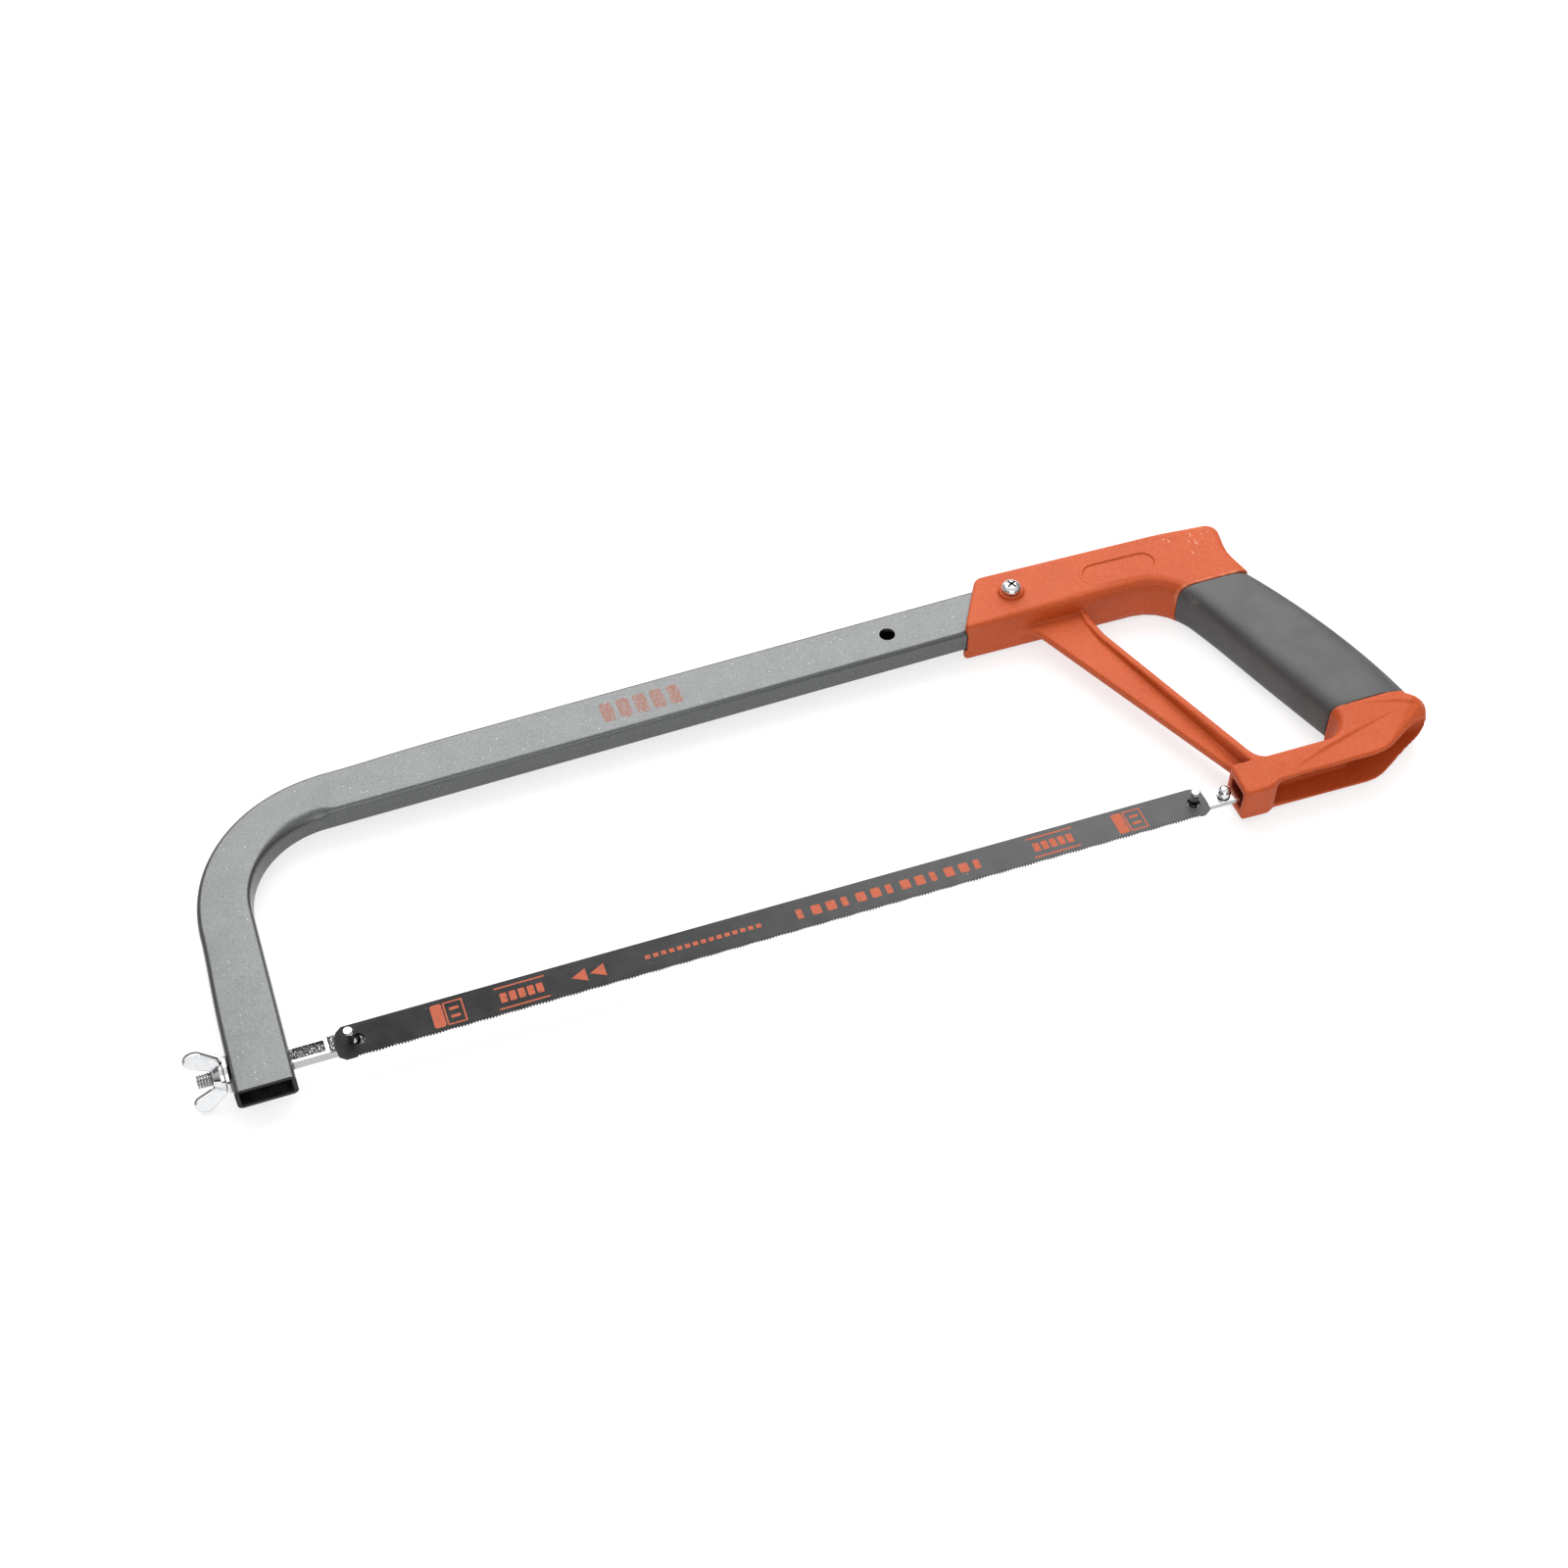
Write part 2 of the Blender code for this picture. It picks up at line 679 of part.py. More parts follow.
def make_washer_and_wing_nut():
    washer_face = LEG_OUTER_X - GAP / 2
    shape = washer_shape(WASHER_DIAMETER / 2, STUD_DIAMETER / 2 + GAP, 0, WASHER_THICK)
    # x outwards from the tube: the lathe's z becomes -x
    outwards = Matrix.Rotation(-math.pi / 2, 4, "Y")
    place = Matrix.Translation((washer_face, STUD_Y, 0)) @ outwards
    smooth(add("tension_washer", moved(shape, place), material=BRIGHT_ZINC))

    seat = washer_face - WASHER_THICK - GAP / 2
    hub = lathe([(NUT_BASE / 2, 0), (NUT_BASE / 2, 1.4), (NUT_TOP / 2, NUT_LENGTH)])
    place = Matrix.Translation((seat, STUD_Y, 0)) @ outwards
    nut = add("wing_nut", moved(hub, place), origin=(seat, STUD_Y, 0), material=BRIGHT_ZINC)
    wing = [
        (2.4, 0.4, 0.0, 0.5, 0.5),
        (6.4, 0.4, 1.4, 0.5, 0.5),
        (WING_REACH, 6.6, 3.4, 0.5, 0.5),
        (WING_REACH, 11.8, 3.0, 0.5, 0.5),
        (6.2, 12.0, 2.4, 0.5, 0.5),
        (3.6, 5.2, 1.2, 0.5, 0.5),
        (2.4, 3.6, 0.0, 0.5, 0.5),
    ]
    for side in (0, math.pi):
        ear = slab(wing, lambda x, y: WING_THICK / 2, steps=4, edge_steps=2)
        # outline x is radial and y is outwards; stand it along the axis, then turn it
        stand = Matrix(((0, -1, 0, 0), (1, 0, 0, 0), (0, 0, 1, 0), (0, 0, 0, 1)))
        turn = Matrix.Rotation(WING_TILT + side, 4, "X")
        combine(nut, "UNION", moved(ear, Matrix.Translation((seat, STUD_Y, 0)) @ turn @ stand))
    bore = rod(0, 0, NUT_BORE, -3, 20)
    combine(nut, "DIFFERENCE", moved(bore, Matrix.Translation((seat, STUD_Y, 0)) @ outwards))
    smooth(nut)


def make_rear_holder():
    half_wide = BAR_WIDTH / 2
    low = REAR_TOP - REAR_THICK
    face = REAR_TOP - SEAT_STEP
    bar = add(
        "rear_holder_bar",
        prism(
            [
                (REAR_START, -half_wide, 2.6),
                (REAR_END, -half_wide, 0.8),
                (REAR_END, half_wide, 0.8),
                (REAR_START, half_wide, 2.6),
            ],
            low,
            face,
        ),
        material=BRIGHT_ZINC,
    )
    bores = ((PIN_SPACING, PIN_DIAMETER), (STUD_X, PIN_DIAMETER), (RETAINER_X, RETAINER_DIAMETER))
    for x, diameter in bores:
        combine(bar, "DIFFERENCE", rod(x, 0, diameter + 2 * PIN_BORE_PLAY, -THROUGH, THROUGH))
    smooth(bar)
    pin = lathe(pin_profile(low), 24)
    smooth(add("rear_blade_pin", moved(pin, Matrix.Translation((PIN_SPACING, 0, 0))), material=BRIGHT_ZINC))
    dome = STOP_DIAMETER / 2
    shank = PIN_DIAMETER / 2
    seat = face + PIN_BORE_PLAY
    rise = STOP_TOP - seat
    profile = [(shank, low), (shank, seat), (dome, seat), (dome, seat + rise * 0.4)]
    for step in range(1, 5):
        angle = math.radians(80) * step / 4
        profile.append((dome * math.cos(angle), seat + rise * (0.4 + 0.6 * math.sin(angle))))
    stud = moved(lathe(profile, 24), Matrix.Translation((STUD_X, 0, 0)))
    smooth(add("rear_stop_stud", stud, material=BRIGHT_ZINC))
    pin = rod(RETAINER_X, 0, RETAINER_DIAMETER, RETAINER_FOOT, RETAINER_TOP)
    smooth(add("rear_retaining_pin", pin, material=BRIGHT_ZINC))


# Blade


def make_blade():
    """Flat blade with a round hole at each end and a toothed lower edge."""
    first = (PIN_SPACING - HOLE_SPACING) / 2
    start = first - BLADE_FRONT
    end = first + HOLE_SPACING + BLADE_REAR
    half = BLADE_WIDTH / 2
    low = REAR_TOP + 0.05
    corners = [
        (end, half, BLADE_CORNER),
        (start + 3.4, half, 0.6),
        (start + 1.2, half - 1.8, 1.5),
        (start, -0.4, 6.0),
        (start + 0.8, 1.2 - half, 1.5),
        (start + 2.7, -half, 0.6),
    ]
    pitch = 25.4 / TEETH_PER_INCH
    teeth = int((TOOTH_END - TOOTH_START) / pitch)
    for tooth in range(teeth):
        tip = TOOTH_START + tooth * pitch
        # each tooth leans forwards, because the saw cuts on the push stroke
        corners.append((tip, -half, 0.0))
        corners.append((tip + pitch * 0.8, -half + TOOTH_DEPTH, 0.0))
    corners.append((TOOTH_START + teeth * pitch, -half, 0.0))
    corners.append((end, -half, BLADE_CORNER - 1.0))
    strip = prism(corners, low, low + BLADE_THICK)
    blade = add("saw_blade", strip, origin=(first, 0, low), material=BLADE_STEEL)
    holes = [rod(first + k * HOLE_SPACING, 0, BLADE_HOLE, -THROUGH, THROUGH, 28) for k in (0, 1)]
    combine(blade, "DIFFERENCE", *holes)
    smooth(blade)


def centre_on_underside():
    """Moves the saw frame so that the world origin is at the middle of the saw's underside."""
    bpy.context.view_layer.update()
    corners = []
    for item in SAW.children:
        corners += [item.matrix_world @ Vector(corner) for corner in item.bound_box]
    low = [min(corner[axis] for corner in corners) for axis in range(3)]
    high = [max(corner[axis] for corner in corners) for axis in range(3)]
    SAW.location = (-(low[0] + high[0]) / 2, -(low[1] + high[1]) / 2, -low[2])
    bpy.context.view_layer.update()


clear_scene()
SAW = bpy.data.objects.new("saw_frame", None)
bpy.context.scene.collection.objects.link(SAW)
GREY_PAINT = finish("grey_fleck_paint", (0.36, 0.37, 0.37), 0.42, 0.25)
ORANGE_COAT = finish("orange_powder_coat", (0.71, 0.13, 0.045), 0.5, 0.0)
GREY_RUBBER = finish("grey_rubber", (0.105, 0.105, 0.108), 0.62, 0.0)
BRIGHT_ZINC = finish("bright_zinc", (0.82, 0.83, 0.84), 0.16, 1.0)
BLADE_STEEL = finish("blade_steel", (0.12, 0.12, 0.125), 0.4, 0.6)

make_tube()
make_handle()
make_sleeve()
make_handle_screw()
make_tensioner()
make_washer_and_wing_nut()
make_rear_holder()
make_blade()
centre_on_underside()
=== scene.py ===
"""Looks for the hacksaw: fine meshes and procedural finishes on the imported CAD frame.

Shapes are made in millimetres in the saw's own frame: the origin is on the front blade pin, x runs
along the blade to the handle, y runs up to the spine and z = 0 is the middle of the tube.
"""

import math

import bmesh
import bpy
import numpy as np
from mathutils import Matrix, Vector


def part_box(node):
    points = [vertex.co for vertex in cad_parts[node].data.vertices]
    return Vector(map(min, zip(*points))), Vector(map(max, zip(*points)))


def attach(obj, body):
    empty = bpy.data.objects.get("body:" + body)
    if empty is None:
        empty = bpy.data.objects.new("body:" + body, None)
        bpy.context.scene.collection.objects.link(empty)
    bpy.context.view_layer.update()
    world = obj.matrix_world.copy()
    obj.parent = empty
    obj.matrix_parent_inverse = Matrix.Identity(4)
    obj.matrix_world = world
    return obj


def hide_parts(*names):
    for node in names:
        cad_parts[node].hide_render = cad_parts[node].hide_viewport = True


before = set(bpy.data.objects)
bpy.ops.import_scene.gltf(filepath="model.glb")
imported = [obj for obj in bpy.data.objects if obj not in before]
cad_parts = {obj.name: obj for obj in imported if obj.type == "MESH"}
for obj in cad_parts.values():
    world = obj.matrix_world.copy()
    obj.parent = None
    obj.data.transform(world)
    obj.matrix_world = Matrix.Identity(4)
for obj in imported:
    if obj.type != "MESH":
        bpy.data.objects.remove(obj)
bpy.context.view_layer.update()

pin_low, pin_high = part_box("front_blade_pin")
tube_low, tube_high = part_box("frame_tube")
ORIGIN = Vector(
    ((pin_low.x + pin_high.x) / 2, (pin_low.y + pin_high.y) / 2, (tube_low.z + tube_high.z) / 2)
)
MM = 0.001
HANDLE_HALF = 10.4  # half thickness of the handle
HOLE_SPACING = 300.0  # between the blade's two holes


def saw_box(node):
    """A CAD node's box in the saw's own frame, in millimetres."""
    low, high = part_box(node)
    return (low - ORIGIN) / MM, (high - ORIGIN) / MM


# ------------------------------------------------------------------ materials


class Nodes:
    """Short calls for building a material's node tree."""

    def __init__(self, name):
        self.material = bpy.data.materials.new(name)
        self.material.use_nodes = True
        self.tree = self.material.node_tree
        self.shader = self.tree.nodes["Principled BSDF"]
        self.place = self.node("ShaderNodeTexCoord").outputs["Object"]

    def node(self, kind, **settings):
        made = self.tree.nodes.new(kind)
        for key, value in settings.items():
            setattr(made, key, value)
        return made

    def link(self, source, target):
        if isinstance(target, str):
            target = self.shader.inputs[target]
        self.tree.links.new(source, target)

    def set(self, **values):
        names = {"coat": "Coat Weight", "coat_rough": "Coat Roughness", "specular": "Specular IOR Level"}
        for key, value in values.items():
            socket = names.get(key, key.replace("_", " ").title())
            self.shader.inputs[socket].default_value = value

    def stretched(self, scale):
        mapping = self.node("ShaderNodeMapping")
        mapping.inputs["Scale"].default_value = scale
        self.link(self.place, mapping.inputs["Vector"])
        return mapping.outputs["Vector"]

    def noise(self, size_mm, detail=3.0, rough=0.55, place=None):
        """Noise whose grains are about this many millimetres across."""
        made = self.node("ShaderNodeTexNoise")
        made.inputs["Scale"].default_value = 1 / (size_mm * MM)
        made.inputs["Detail"].default_value = detail
        made.inputs["Roughness"].default_value = rough
        self.link(place or self.place, made.inputs["Vector"])
        return made.outputs["Fac"]

    def spots(self, spacing_mm, radius, share):
        """Round specks: 1 inside a speck. Radius is in cells, share is the part of cells with one."""
        made = self.node("ShaderNodeTexVoronoi")
        made.inputs["Scale"].default_value = 1 / (spacing_mm * MM)
        self.link(self.place, made.inputs["Vector"])
        split = self.node("ShaderNodeSeparateColor")
        self.link(made.outputs["Color"], split.inputs["Color"])
        near = self.ramp(made.outputs["Distance"], radius * 0.6, radius, 1.0, 0.0)
        chosen = self.ramp(split.outputs["Red"], 1 - share, 1 - share + 0.01, 0.0, 1.0)
        return self.multiply(near, chosen)

    def ramp(self, source, low, high, out_low=0.0, out_high=1.0):
        made = self.node("ShaderNodeMapRange", interpolation_type="SMOOTHSTEP")
        limits = (("From Min", low), ("From Max", high), ("To Min", out_low), ("To Max", out_high))
        for key, value in limits:
            made.inputs[key].default_value = value
        self.link(source, made.inputs["Value"])
        return made.outputs["Result"]

    def multiply(self, first, second):
        made = self.node("ShaderNodeMath", operation="MULTIPLY")
        self.link(first, made.inputs[0])
        if isinstance(second, (int, float)):
            made.inputs[1].default_value = second
        else:
            self.link(second, made.inputs[1])
        return made.outputs[0]

    def mix(self, amount, first, second):
        """Colours, or sockets, blended by a socket."""
        made = self.node("ShaderNodeMix", data_type="RGBA")
        self.link(amount, made.inputs["Factor"])
        for slot, value in ((6, first), (7, second)):
            if isinstance(value, tuple):
                made.inputs[slot].default_value = (*value, 1.0)
            else:
                self.link(value, made.inputs[slot])
        return made.outputs[2]

    def near(self, place, full, none):
        """1 within full millimetres of a place in the saw's frame, fading to 0 at none."""
        made = self.node("ShaderNodeVectorMath", operation="DISTANCE")
        made.inputs[1].default_value = Vector(place) * MM + ORIGIN
        self.link(self.place, made.inputs[0])
        return self.ramp(made.outputs["Value"], full * MM, none * MM, 1.0, 0.0)

    def band(self, axis, low, high, soft):
        """1 between two heights along an axis of the saw's frame."""
        split = self.node("ShaderNodeSeparateXYZ")
        self.link(self.place, split.inputs[0])
        at = ORIGIN["XYZ".index(axis)]
        rise = self.ramp(split.outputs[axis], at + (low - soft) * MM, at + low * MM)
        fall = self.ramp(split.outputs[axis], at + high * MM, at + (high + soft) * MM, 1.0, 0.0)
        return self.multiply(rise, fall)

    def openness(self, distance_mm):
        """1 in the open, less where other surfaces stand within this distance."""
        made = self.node("ShaderNodeAmbientOcclusion", samples=8)
        made.inputs["Distance"].default_value = distance_mm * MM
        return made.outputs["AO"]

    def bump(self, height, strength, distance_mm, normal=None):
        made = self.node("ShaderNodeBump")
        made.inputs["Strength"].default_value = strength
        made.inputs["Distance"].default_value = distance_mm * MM
        self.link(height, made.inputs["Height"])
        if normal:
            self.link(normal, made.inputs["Normal"])
        return made.outputs["Normal"]


def grey_fleck_paint():
    """Dark metallic paint that turns light where it mirrors the studio's bright top, with fine flecks."""
    n = Nodes("grey_fleck_paint")
    cloud = n.ramp(n.noise(14, 4), 0.3, 0.7)
    base = n.mix(cloud, (0.083, 0.086, 0.088), (0.09, 0.093, 0.094))
    grain = n.ramp(n.noise(0.3, 2), 0.4, 0.66)
    base = n.mix(grain, base, (0.13, 0.132, 0.132))
    dark = n.spots(1.0, 0.2, 0.4)
    base = n.mix(n.multiply(dark, 0.5), base, (0.06, 0.062, 0.064))
    fine = n.spots(0.7, 0.2, 0.6)
    base = n.mix(n.multiply(fine, 0.6), base, (0.26, 0.265, 0.26))
    fleck = n.spots(1.9, 0.11, 0.4)
    base = n.mix(n.multiply(fleck, 0.85), base, (0.42, 0.43, 0.42))
    n.link(base, "Base Color")
    n.link(n.ramp(n.noise(6, 2), 0.3, 0.7, 0.38, 0.42), "Roughness")
    n.link(n.bump(n.noise(0.5, 2), 0.18, 0.03), "Normal")
    n.set(metallic=0.92, coat=0.3, coat_rough=0.12)
    return n.material


def bare_steel_and_painted_shade():
    """Near-black steel inside the tube and on its sawn end: bare steel, darkened further as painted shade.
    """
    n = Nodes("tube_inside_steel_and_painted_shade")
    cloud = n.ramp(n.noise(4, 4), 0.35, 0.65)
    # the near-black colour is partly painted shade for the tube's hollow and its rim
    n.link(n.mix(cloud, (0.008, 0.0085, 0.009), (0.02, 0.0205, 0.021)), "Base Color")
    n.link(n.ramp(n.noise(2, 3), 0.3, 0.7, 0.4, 0.65), "Roughness")
    n.link(n.bump(n.noise(0.6, 3), 0.3, 0.1), "Normal")
    n.set(metallic=0.3, specular=0.25)
    return n.material


def orange_powder_coat():
    """Satin powder coat: fine orange peel, slight colour drift, rubs and a few chips, with painted shade
    in its hollows.
    """
    n = Nodes("orange_powder_coat")
    cloud = n.ramp(n.noise(18, 4), 0.3, 0.7)
    base = n.mix(cloud, (0.4, 0.054, 0.0075), (0.44, 0.064, 0.01))
    grain = n.ramp(n.noise(0.5, 3, 0.65), 0.36, 0.66)
    base = n.mix(n.multiply(grain, 0.6), base, (0.52, 0.1, 0.026))
    shade = n.ramp(n.noise(0.8, 3, 0.65), 0.58, 0.72)
    base = n.mix(n.multiply(shade, 0.5), base, (0.28, 0.028, 0.004))
    # the back corner has taken small knocks
    knocked = n.near((352.0, 113.5, HANDLE_HALF), 6.0, 16.0)
    scratch = n.ramp(n.noise(1.3, 3, 0.5, n.stretched((1.0, 0.3, 0.5))), 0.62, 0.68)
    base = n.mix(n.multiply(n.multiply(scratch, knocked), 0.7), base, (0.6, 0.34, 0.24))
    chip = n.multiply(n.spots(3.0, 0.12, 0.35), knocked)
    base = n.mix(chip, base, (0.7, 0.52, 0.42))
    base = n.mix(n.multiply(n.spots(6.5, 0.04, 0.3), 0.8), base, (0.85, 0.6, 0.48))
    # a paler, patchy line along the bead where the casting meets the sleeve
    bead = n.multiply(n.band("Y", 90.9, 91.7, 0.35), n.near((353.0, 91.0, 8.0), 15.0, 19.0))
    worn = n.ramp(n.noise(3, 4, 0.6), 0.4, 0.6, 0.1, 0.6)
    base = n.mix(n.multiply(bead, worn), base, (0.66, 0.26, 0.14))
    # painted shade: the colour darkens in the casting's hollows, where little light reaches
    painted_hollow_shade = n.ramp(n.openness(9), 0.15, 0.65, 0.9, 0.0)
    base = n.mix(painted_hollow_shade, base, (0.2, 0.012, 0.001))
    n.link(base, "Base Color")
    n.link(n.ramp(n.noise(1.6, 3), 0.3, 0.7, 0.5, 0.6), "Roughness")
    fine = n.bump(n.noise(0.5, 3, 0.65), 0.9, 0.09)
    n.link(n.bump(n.noise(2.4, 2), 0.3, 0.1, fine), "Normal")
    n.set(specular=0.27)
    return n.material


def grey_rubber():
    """Smooth matt rubber with a dusty bloom, faint scratches and one scuffed corner."""
    n = Nodes("grey_rubber")
    bloom = n.ramp(n.noise(22, 5, 0.6), 0.3, 0.75)
    base = n.mix(bloom, (0.044, 0.044, 0.046), (0.054, 0.054, 0.056))
    scratch = n.ramp(n.noise(1.4, 5, 0.7, n.stretched((0.25, 2.2, 1.0))), 0.68, 0.74)
    base = n.mix(n.multiply(scratch, 0.25), base, (0.14, 0.14, 0.145))
    base = n.mix(n.multiply(n.spots(4.5, 0.06, 0.3), 0.6), base, (0.24, 0.24, 0.24))
    corner = n.near((338.6, 84.5, 7.5), 1.0, 4.5)
    scuff = n.ramp(n.noise(1.1, 4, 0.6, n.stretched((1.0, 0.45, 1.0))), 0.46, 0.56)
    base = n.mix(n.multiply(n.multiply(corner, scuff), 0.7), base, (0.24, 0.21, 0.2))
    n.link(base, "Base Color")
    n.link(n.ramp(n.noise(9, 3), 0.3, 0.7, 0.5, 0.57), "Roughness")
    n.link(n.bump(n.noise(0.45, 2), 0.18, 0.03), "Normal")
    n.set(specular=0.5)
    return n.material


def bright_zinc(name="bright_zinc", metal=(0.74, 0.75, 0.76), tarnish=0.2):
    """Bright plating with tiny waves, slightly dull patches and painted shade darkening its corners."""
    n = Nodes(name)
    dull = n.ramp(n.noise(0.6, 4, 0.65), 0.36, 0.7)
    base = n.mix(n.multiply(dull, tarnish), metal, (0.3, 0.3, 0.31))
    # painted shade: the colour darkens where other surfaces stand close
    painted_corner_shade = n.ramp(n.openness(1.2), 0.5, 0.92, 1.0, 0.0)
    n.link(n.mix(painted_corner_shade, base, (0.03, 0.03, 0.032)), "Base Color")
    n.link(n.ramp(n.noise(1.5, 3), 0.3, 0.7, 0.05, 0.11), "Roughness")
    n.link(n.bump(n.noise(0.8, 3, 0.6), 0.06, 0.02), "Normal")
    n.set(metallic=1.0)
    return n.material


def forged_face():
    """Dark, unplated pits of a forged face, with bright crystals between them."""
    n = Nodes("forged_zinc")
    crystal = n.ramp(n.noise(0.55, 4, 0.7), 0.56, 0.62)
    n.link(n.mix(crystal, (0.025, 0.025, 0.027), (0.8, 0.81, 0.82)), "Base Color")
    n.link(n.ramp(n.noise(0.8, 3), 0.3, 0.7, 0.25, 0.5), "Roughness")
    n.link(n.bump(n.noise(0.5, 4, 0.65), 0.9, 0.2), "Normal")
    n.set(metallic=0.85)
    return n.material


def blade_steel():
    """Dark lacquered strip steel with painted light that makes it paler to the rear, faint lengthwise
    streaks and dust specks.
    """
    n = Nodes("blade_steel")
    streak = n.ramp(n.noise(2.2, 5, 0.6, n.stretched((0.05, 1.0, 1.0))), 0.3, 0.7)
    base = n.mix(streak, (0.004, 0.004, 0.0042), (0.009, 0.009, 0.0094))
    split = n.node("ShaderNodeSeparateXYZ")
    n.link(n.place, split.inputs[0])
    # painted light: the colour grows paler from the front pin towards the rear one
    rearwards = n.ramp(split.outputs["X"], ORIGIN.x, ORIGIN.x + HOLE_SPACING * MM)
    base = n.mix(rearwards, base, (0.055, 0.055, 0.0555))
    cloud = n.ramp(n.noise(24, 3), 0.35, 0.7)
    base = n.mix(n.multiply(cloud, 0.25), base, (0.03, 0.03, 0.0305))
    base = n.mix(n.multiply(n.spots(4.2, 0.07, 0.25), 0.7), base, (0.3, 0.3, 0.3))
    n.link(base, "Base Color")
    rough = n.ramp(rearwards, 0.0, 1.0, 1.5, 1.0)
    n.link(n.multiply(n.ramp(n.noise(5, 4), 0.3, 0.7, 0.42, 0.48), rough), "Roughness")
    n.link(n.bump(n.noise(0.5, 2, place=n.stretched((0.2, 1.0, 1.0))), 0.12, 0.02), "Normal")
    n.set(metallic=0.0, specular=0.3)
    return n.material


def print_ink(name, ink, under, worn_low, worn_high):
    """Screen-printed ink, worn through to the finish below in small patches."""
    n = Nodes(name)
    worn = n.ramp(n.noise(0.8, 4, 0.65), worn_low, worn_high)
    n.link(n.mix(worn, ink, under), "Base Color")
    n.link(n.ramp(n.noise(1.2, 2), 0.3, 0.7, 0.42, 0.55), "Roughness")
    n.set(specular=0.35)
    return n.material


GREY = grey_fleck_paint()
INSIDE = bare_steel_and_painted_shade()
ORANGE = orange_powder_coat()
RUBBER = grey_rubber()
ZINC = bright_zinc()
# darker copies of the plating for rounded edges and for sides: painted shade and dark reflection
RIM_SHADE = bright_zinc("zinc_rim_painted_shade", (0.2, 0.2, 0.205), 0.6)
SIDE_SHADE = bright_zinc("zinc_side_painted_shade", (0.5, 0.505, 0.51), 0.3)
FORGED = forged_face()
BLADE = blade_steel()
BLADE_INK = print_ink("blade_print_ink", (0.38, 0.058, 0.01), (0.03, 0.03, 0.03), 0.58, 0.68)
TUBE_INK = print_ink("tube_print_ink", (0.25, 0.1, 0.07), (0.22, 0.215, 0.21), 0.48, 0.62)

# ------------------------------------------------------------------ mesh helpers


def world_mesh(name, shape):
    """Turns a bmesh in the saw's own frame into a mesh in world metres."""
    bmesh.ops.scale(shape, vec=(MM, MM, MM), verts=shape.verts)
    bmesh.ops.translate(shape, vec=ORIGIN, verts=shape.verts)
    mesh = bpy.data.meshes.new(name)
    shape.to_mesh(mesh)
    shape.free()
    return mesh


def piece(name, shape, body, materials, replaces=(), sharp=40):
    """Makes an object of a bmesh that rides on a CAD body."""
    return place_mesh(name, world_mesh(name, shape), body, materials, replaces, sharp)


def place_mesh(name, mesh, body, materials, replaces=(), sharp=40):
    """Makes an object of a mesh in world metres; edges over the sharp angle stay crisp, unless 0."""
    for material in materials:
        mesh.materials.append(material)
    mesh.shade_smooth()
    if sharp:
        mesh.set_sharp_from_angle(angle=math.radians(sharp))
    item = bpy.data.objects.new(name, mesh)
    bpy.context.scene.collection.objects.link(item)
    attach(item, body)
    if replaces:
        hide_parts(*replaces)
    return item


def remeshed(node, voxel_mm):
    """A CAD node's shape as an even fine mesh, in world metres."""
    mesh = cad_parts[node].data.copy()
    item = bpy.data.objects.new("work", mesh)
    bpy.context.scene.collection.objects.link(item)
    modifier = item.modifiers.new("fine", "REMESH")
    modifier.mode = "VOXEL"
    modifier.voxel_size = voxel_mm * MM
    bpy.context.view_layer.update()
    graph = bpy.context.evaluated_depsgraph_get()
    made = bpy.data.meshes.new_from_object(item.evaluated_get(graph))
    bpy.data.objects.remove(item, do_unlink=True)
    made.materials.clear()
    return made


def points_of(mesh):
    flat = np.empty(len(mesh.vertices) * 3)
    mesh.vertices.foreach_get("co", flat)
    return (flat.reshape(-1, 3) - np.array(ORIGIN)) / MM


def store_points(mesh, points):
    mesh.vertices.foreach_set("co", (points * MM + np.array(ORIGIN)).ravel())
    mesh.update()


def relax(mesh, passes):
    """Rounds a mesh's edges with volume-keeping smoothing."""
    points = points_of(mesh)
    ends = np.empty(len(mesh.edges) * 2, dtype=np.int64)
    mesh.edges.foreach_get("vertices", ends)
    first, second = ends.reshape(-1, 2).T
    count = np.bincount(first, minlength=len(points)) + np.bincount(second, minlength=len(points))
    for _ in range(passes):
        for pull in (0.55, -0.565):
            total = np.empty_like(points)
            for axis in range(3):
                total[:, axis] = np.bincount(first, points[second, axis], len(points))
                total[:, axis] += np.bincount(second, points[first, axis], len(points))
            points += (total / count[:, None] - points) * pull
    store_points(mesh, points)


def rounded(corners, steps=8):
    """Closed outline through (x, y, radius) corners, each turned by an arc."""
    outline = []
    for index, corner in enumerate(corners):
        here = Vector(corner[:2])
        radius = corner[2] if len(corner) > 2 else 0.0
        before = (Vector(corners[index - 1][:2]) - here).normalized()
        after = (Vector(corners[(index + 1) % len(corners)][:2]) - here).normalized()
        half_turn = (math.pi - before.angle(after)) / 2
        if radius == 0.0 or half_turn < 0.01:
            outline.append(here)
            continue
        start = here + before * radius * math.tan(half_turn)
        end = here + after * radius * math.tan(half_turn)
        centre = here + (before + after).normalized() * radius / math.cos(half_turn)
        sweep = (start - centre).angle_signed(end - centre)
        used = max(1, round(steps * abs(sweep) / (math.pi / 2)))
        for step in range(used + 1):
            outline.append(centre + Matrix.Rotation(-sweep * step / used, 2) @ (start - centre))
    return outline


def skin(shape, rings, closed=False, material=0):
    """Adds quads between rings of points, and returns the rings' vertices."""
    made = [[shape.verts.new(point) for point in ring] for ring in rings]
    pairs = list(zip(made, made[1:]))
    if closed:
        pairs.append((made[-1], made[0]))
    for low, high in pairs:
        for index in range(len(low)):
            after = (index + 1) % len(low)
            face = shape.faces.new((low[index], low[after], high[after], high[index]))
            face.material_index = material
    return made


def tidy_normals(shape):
    bmesh.ops.recalc_face_normals(shape, faces=shape.faces[:])
    return shape


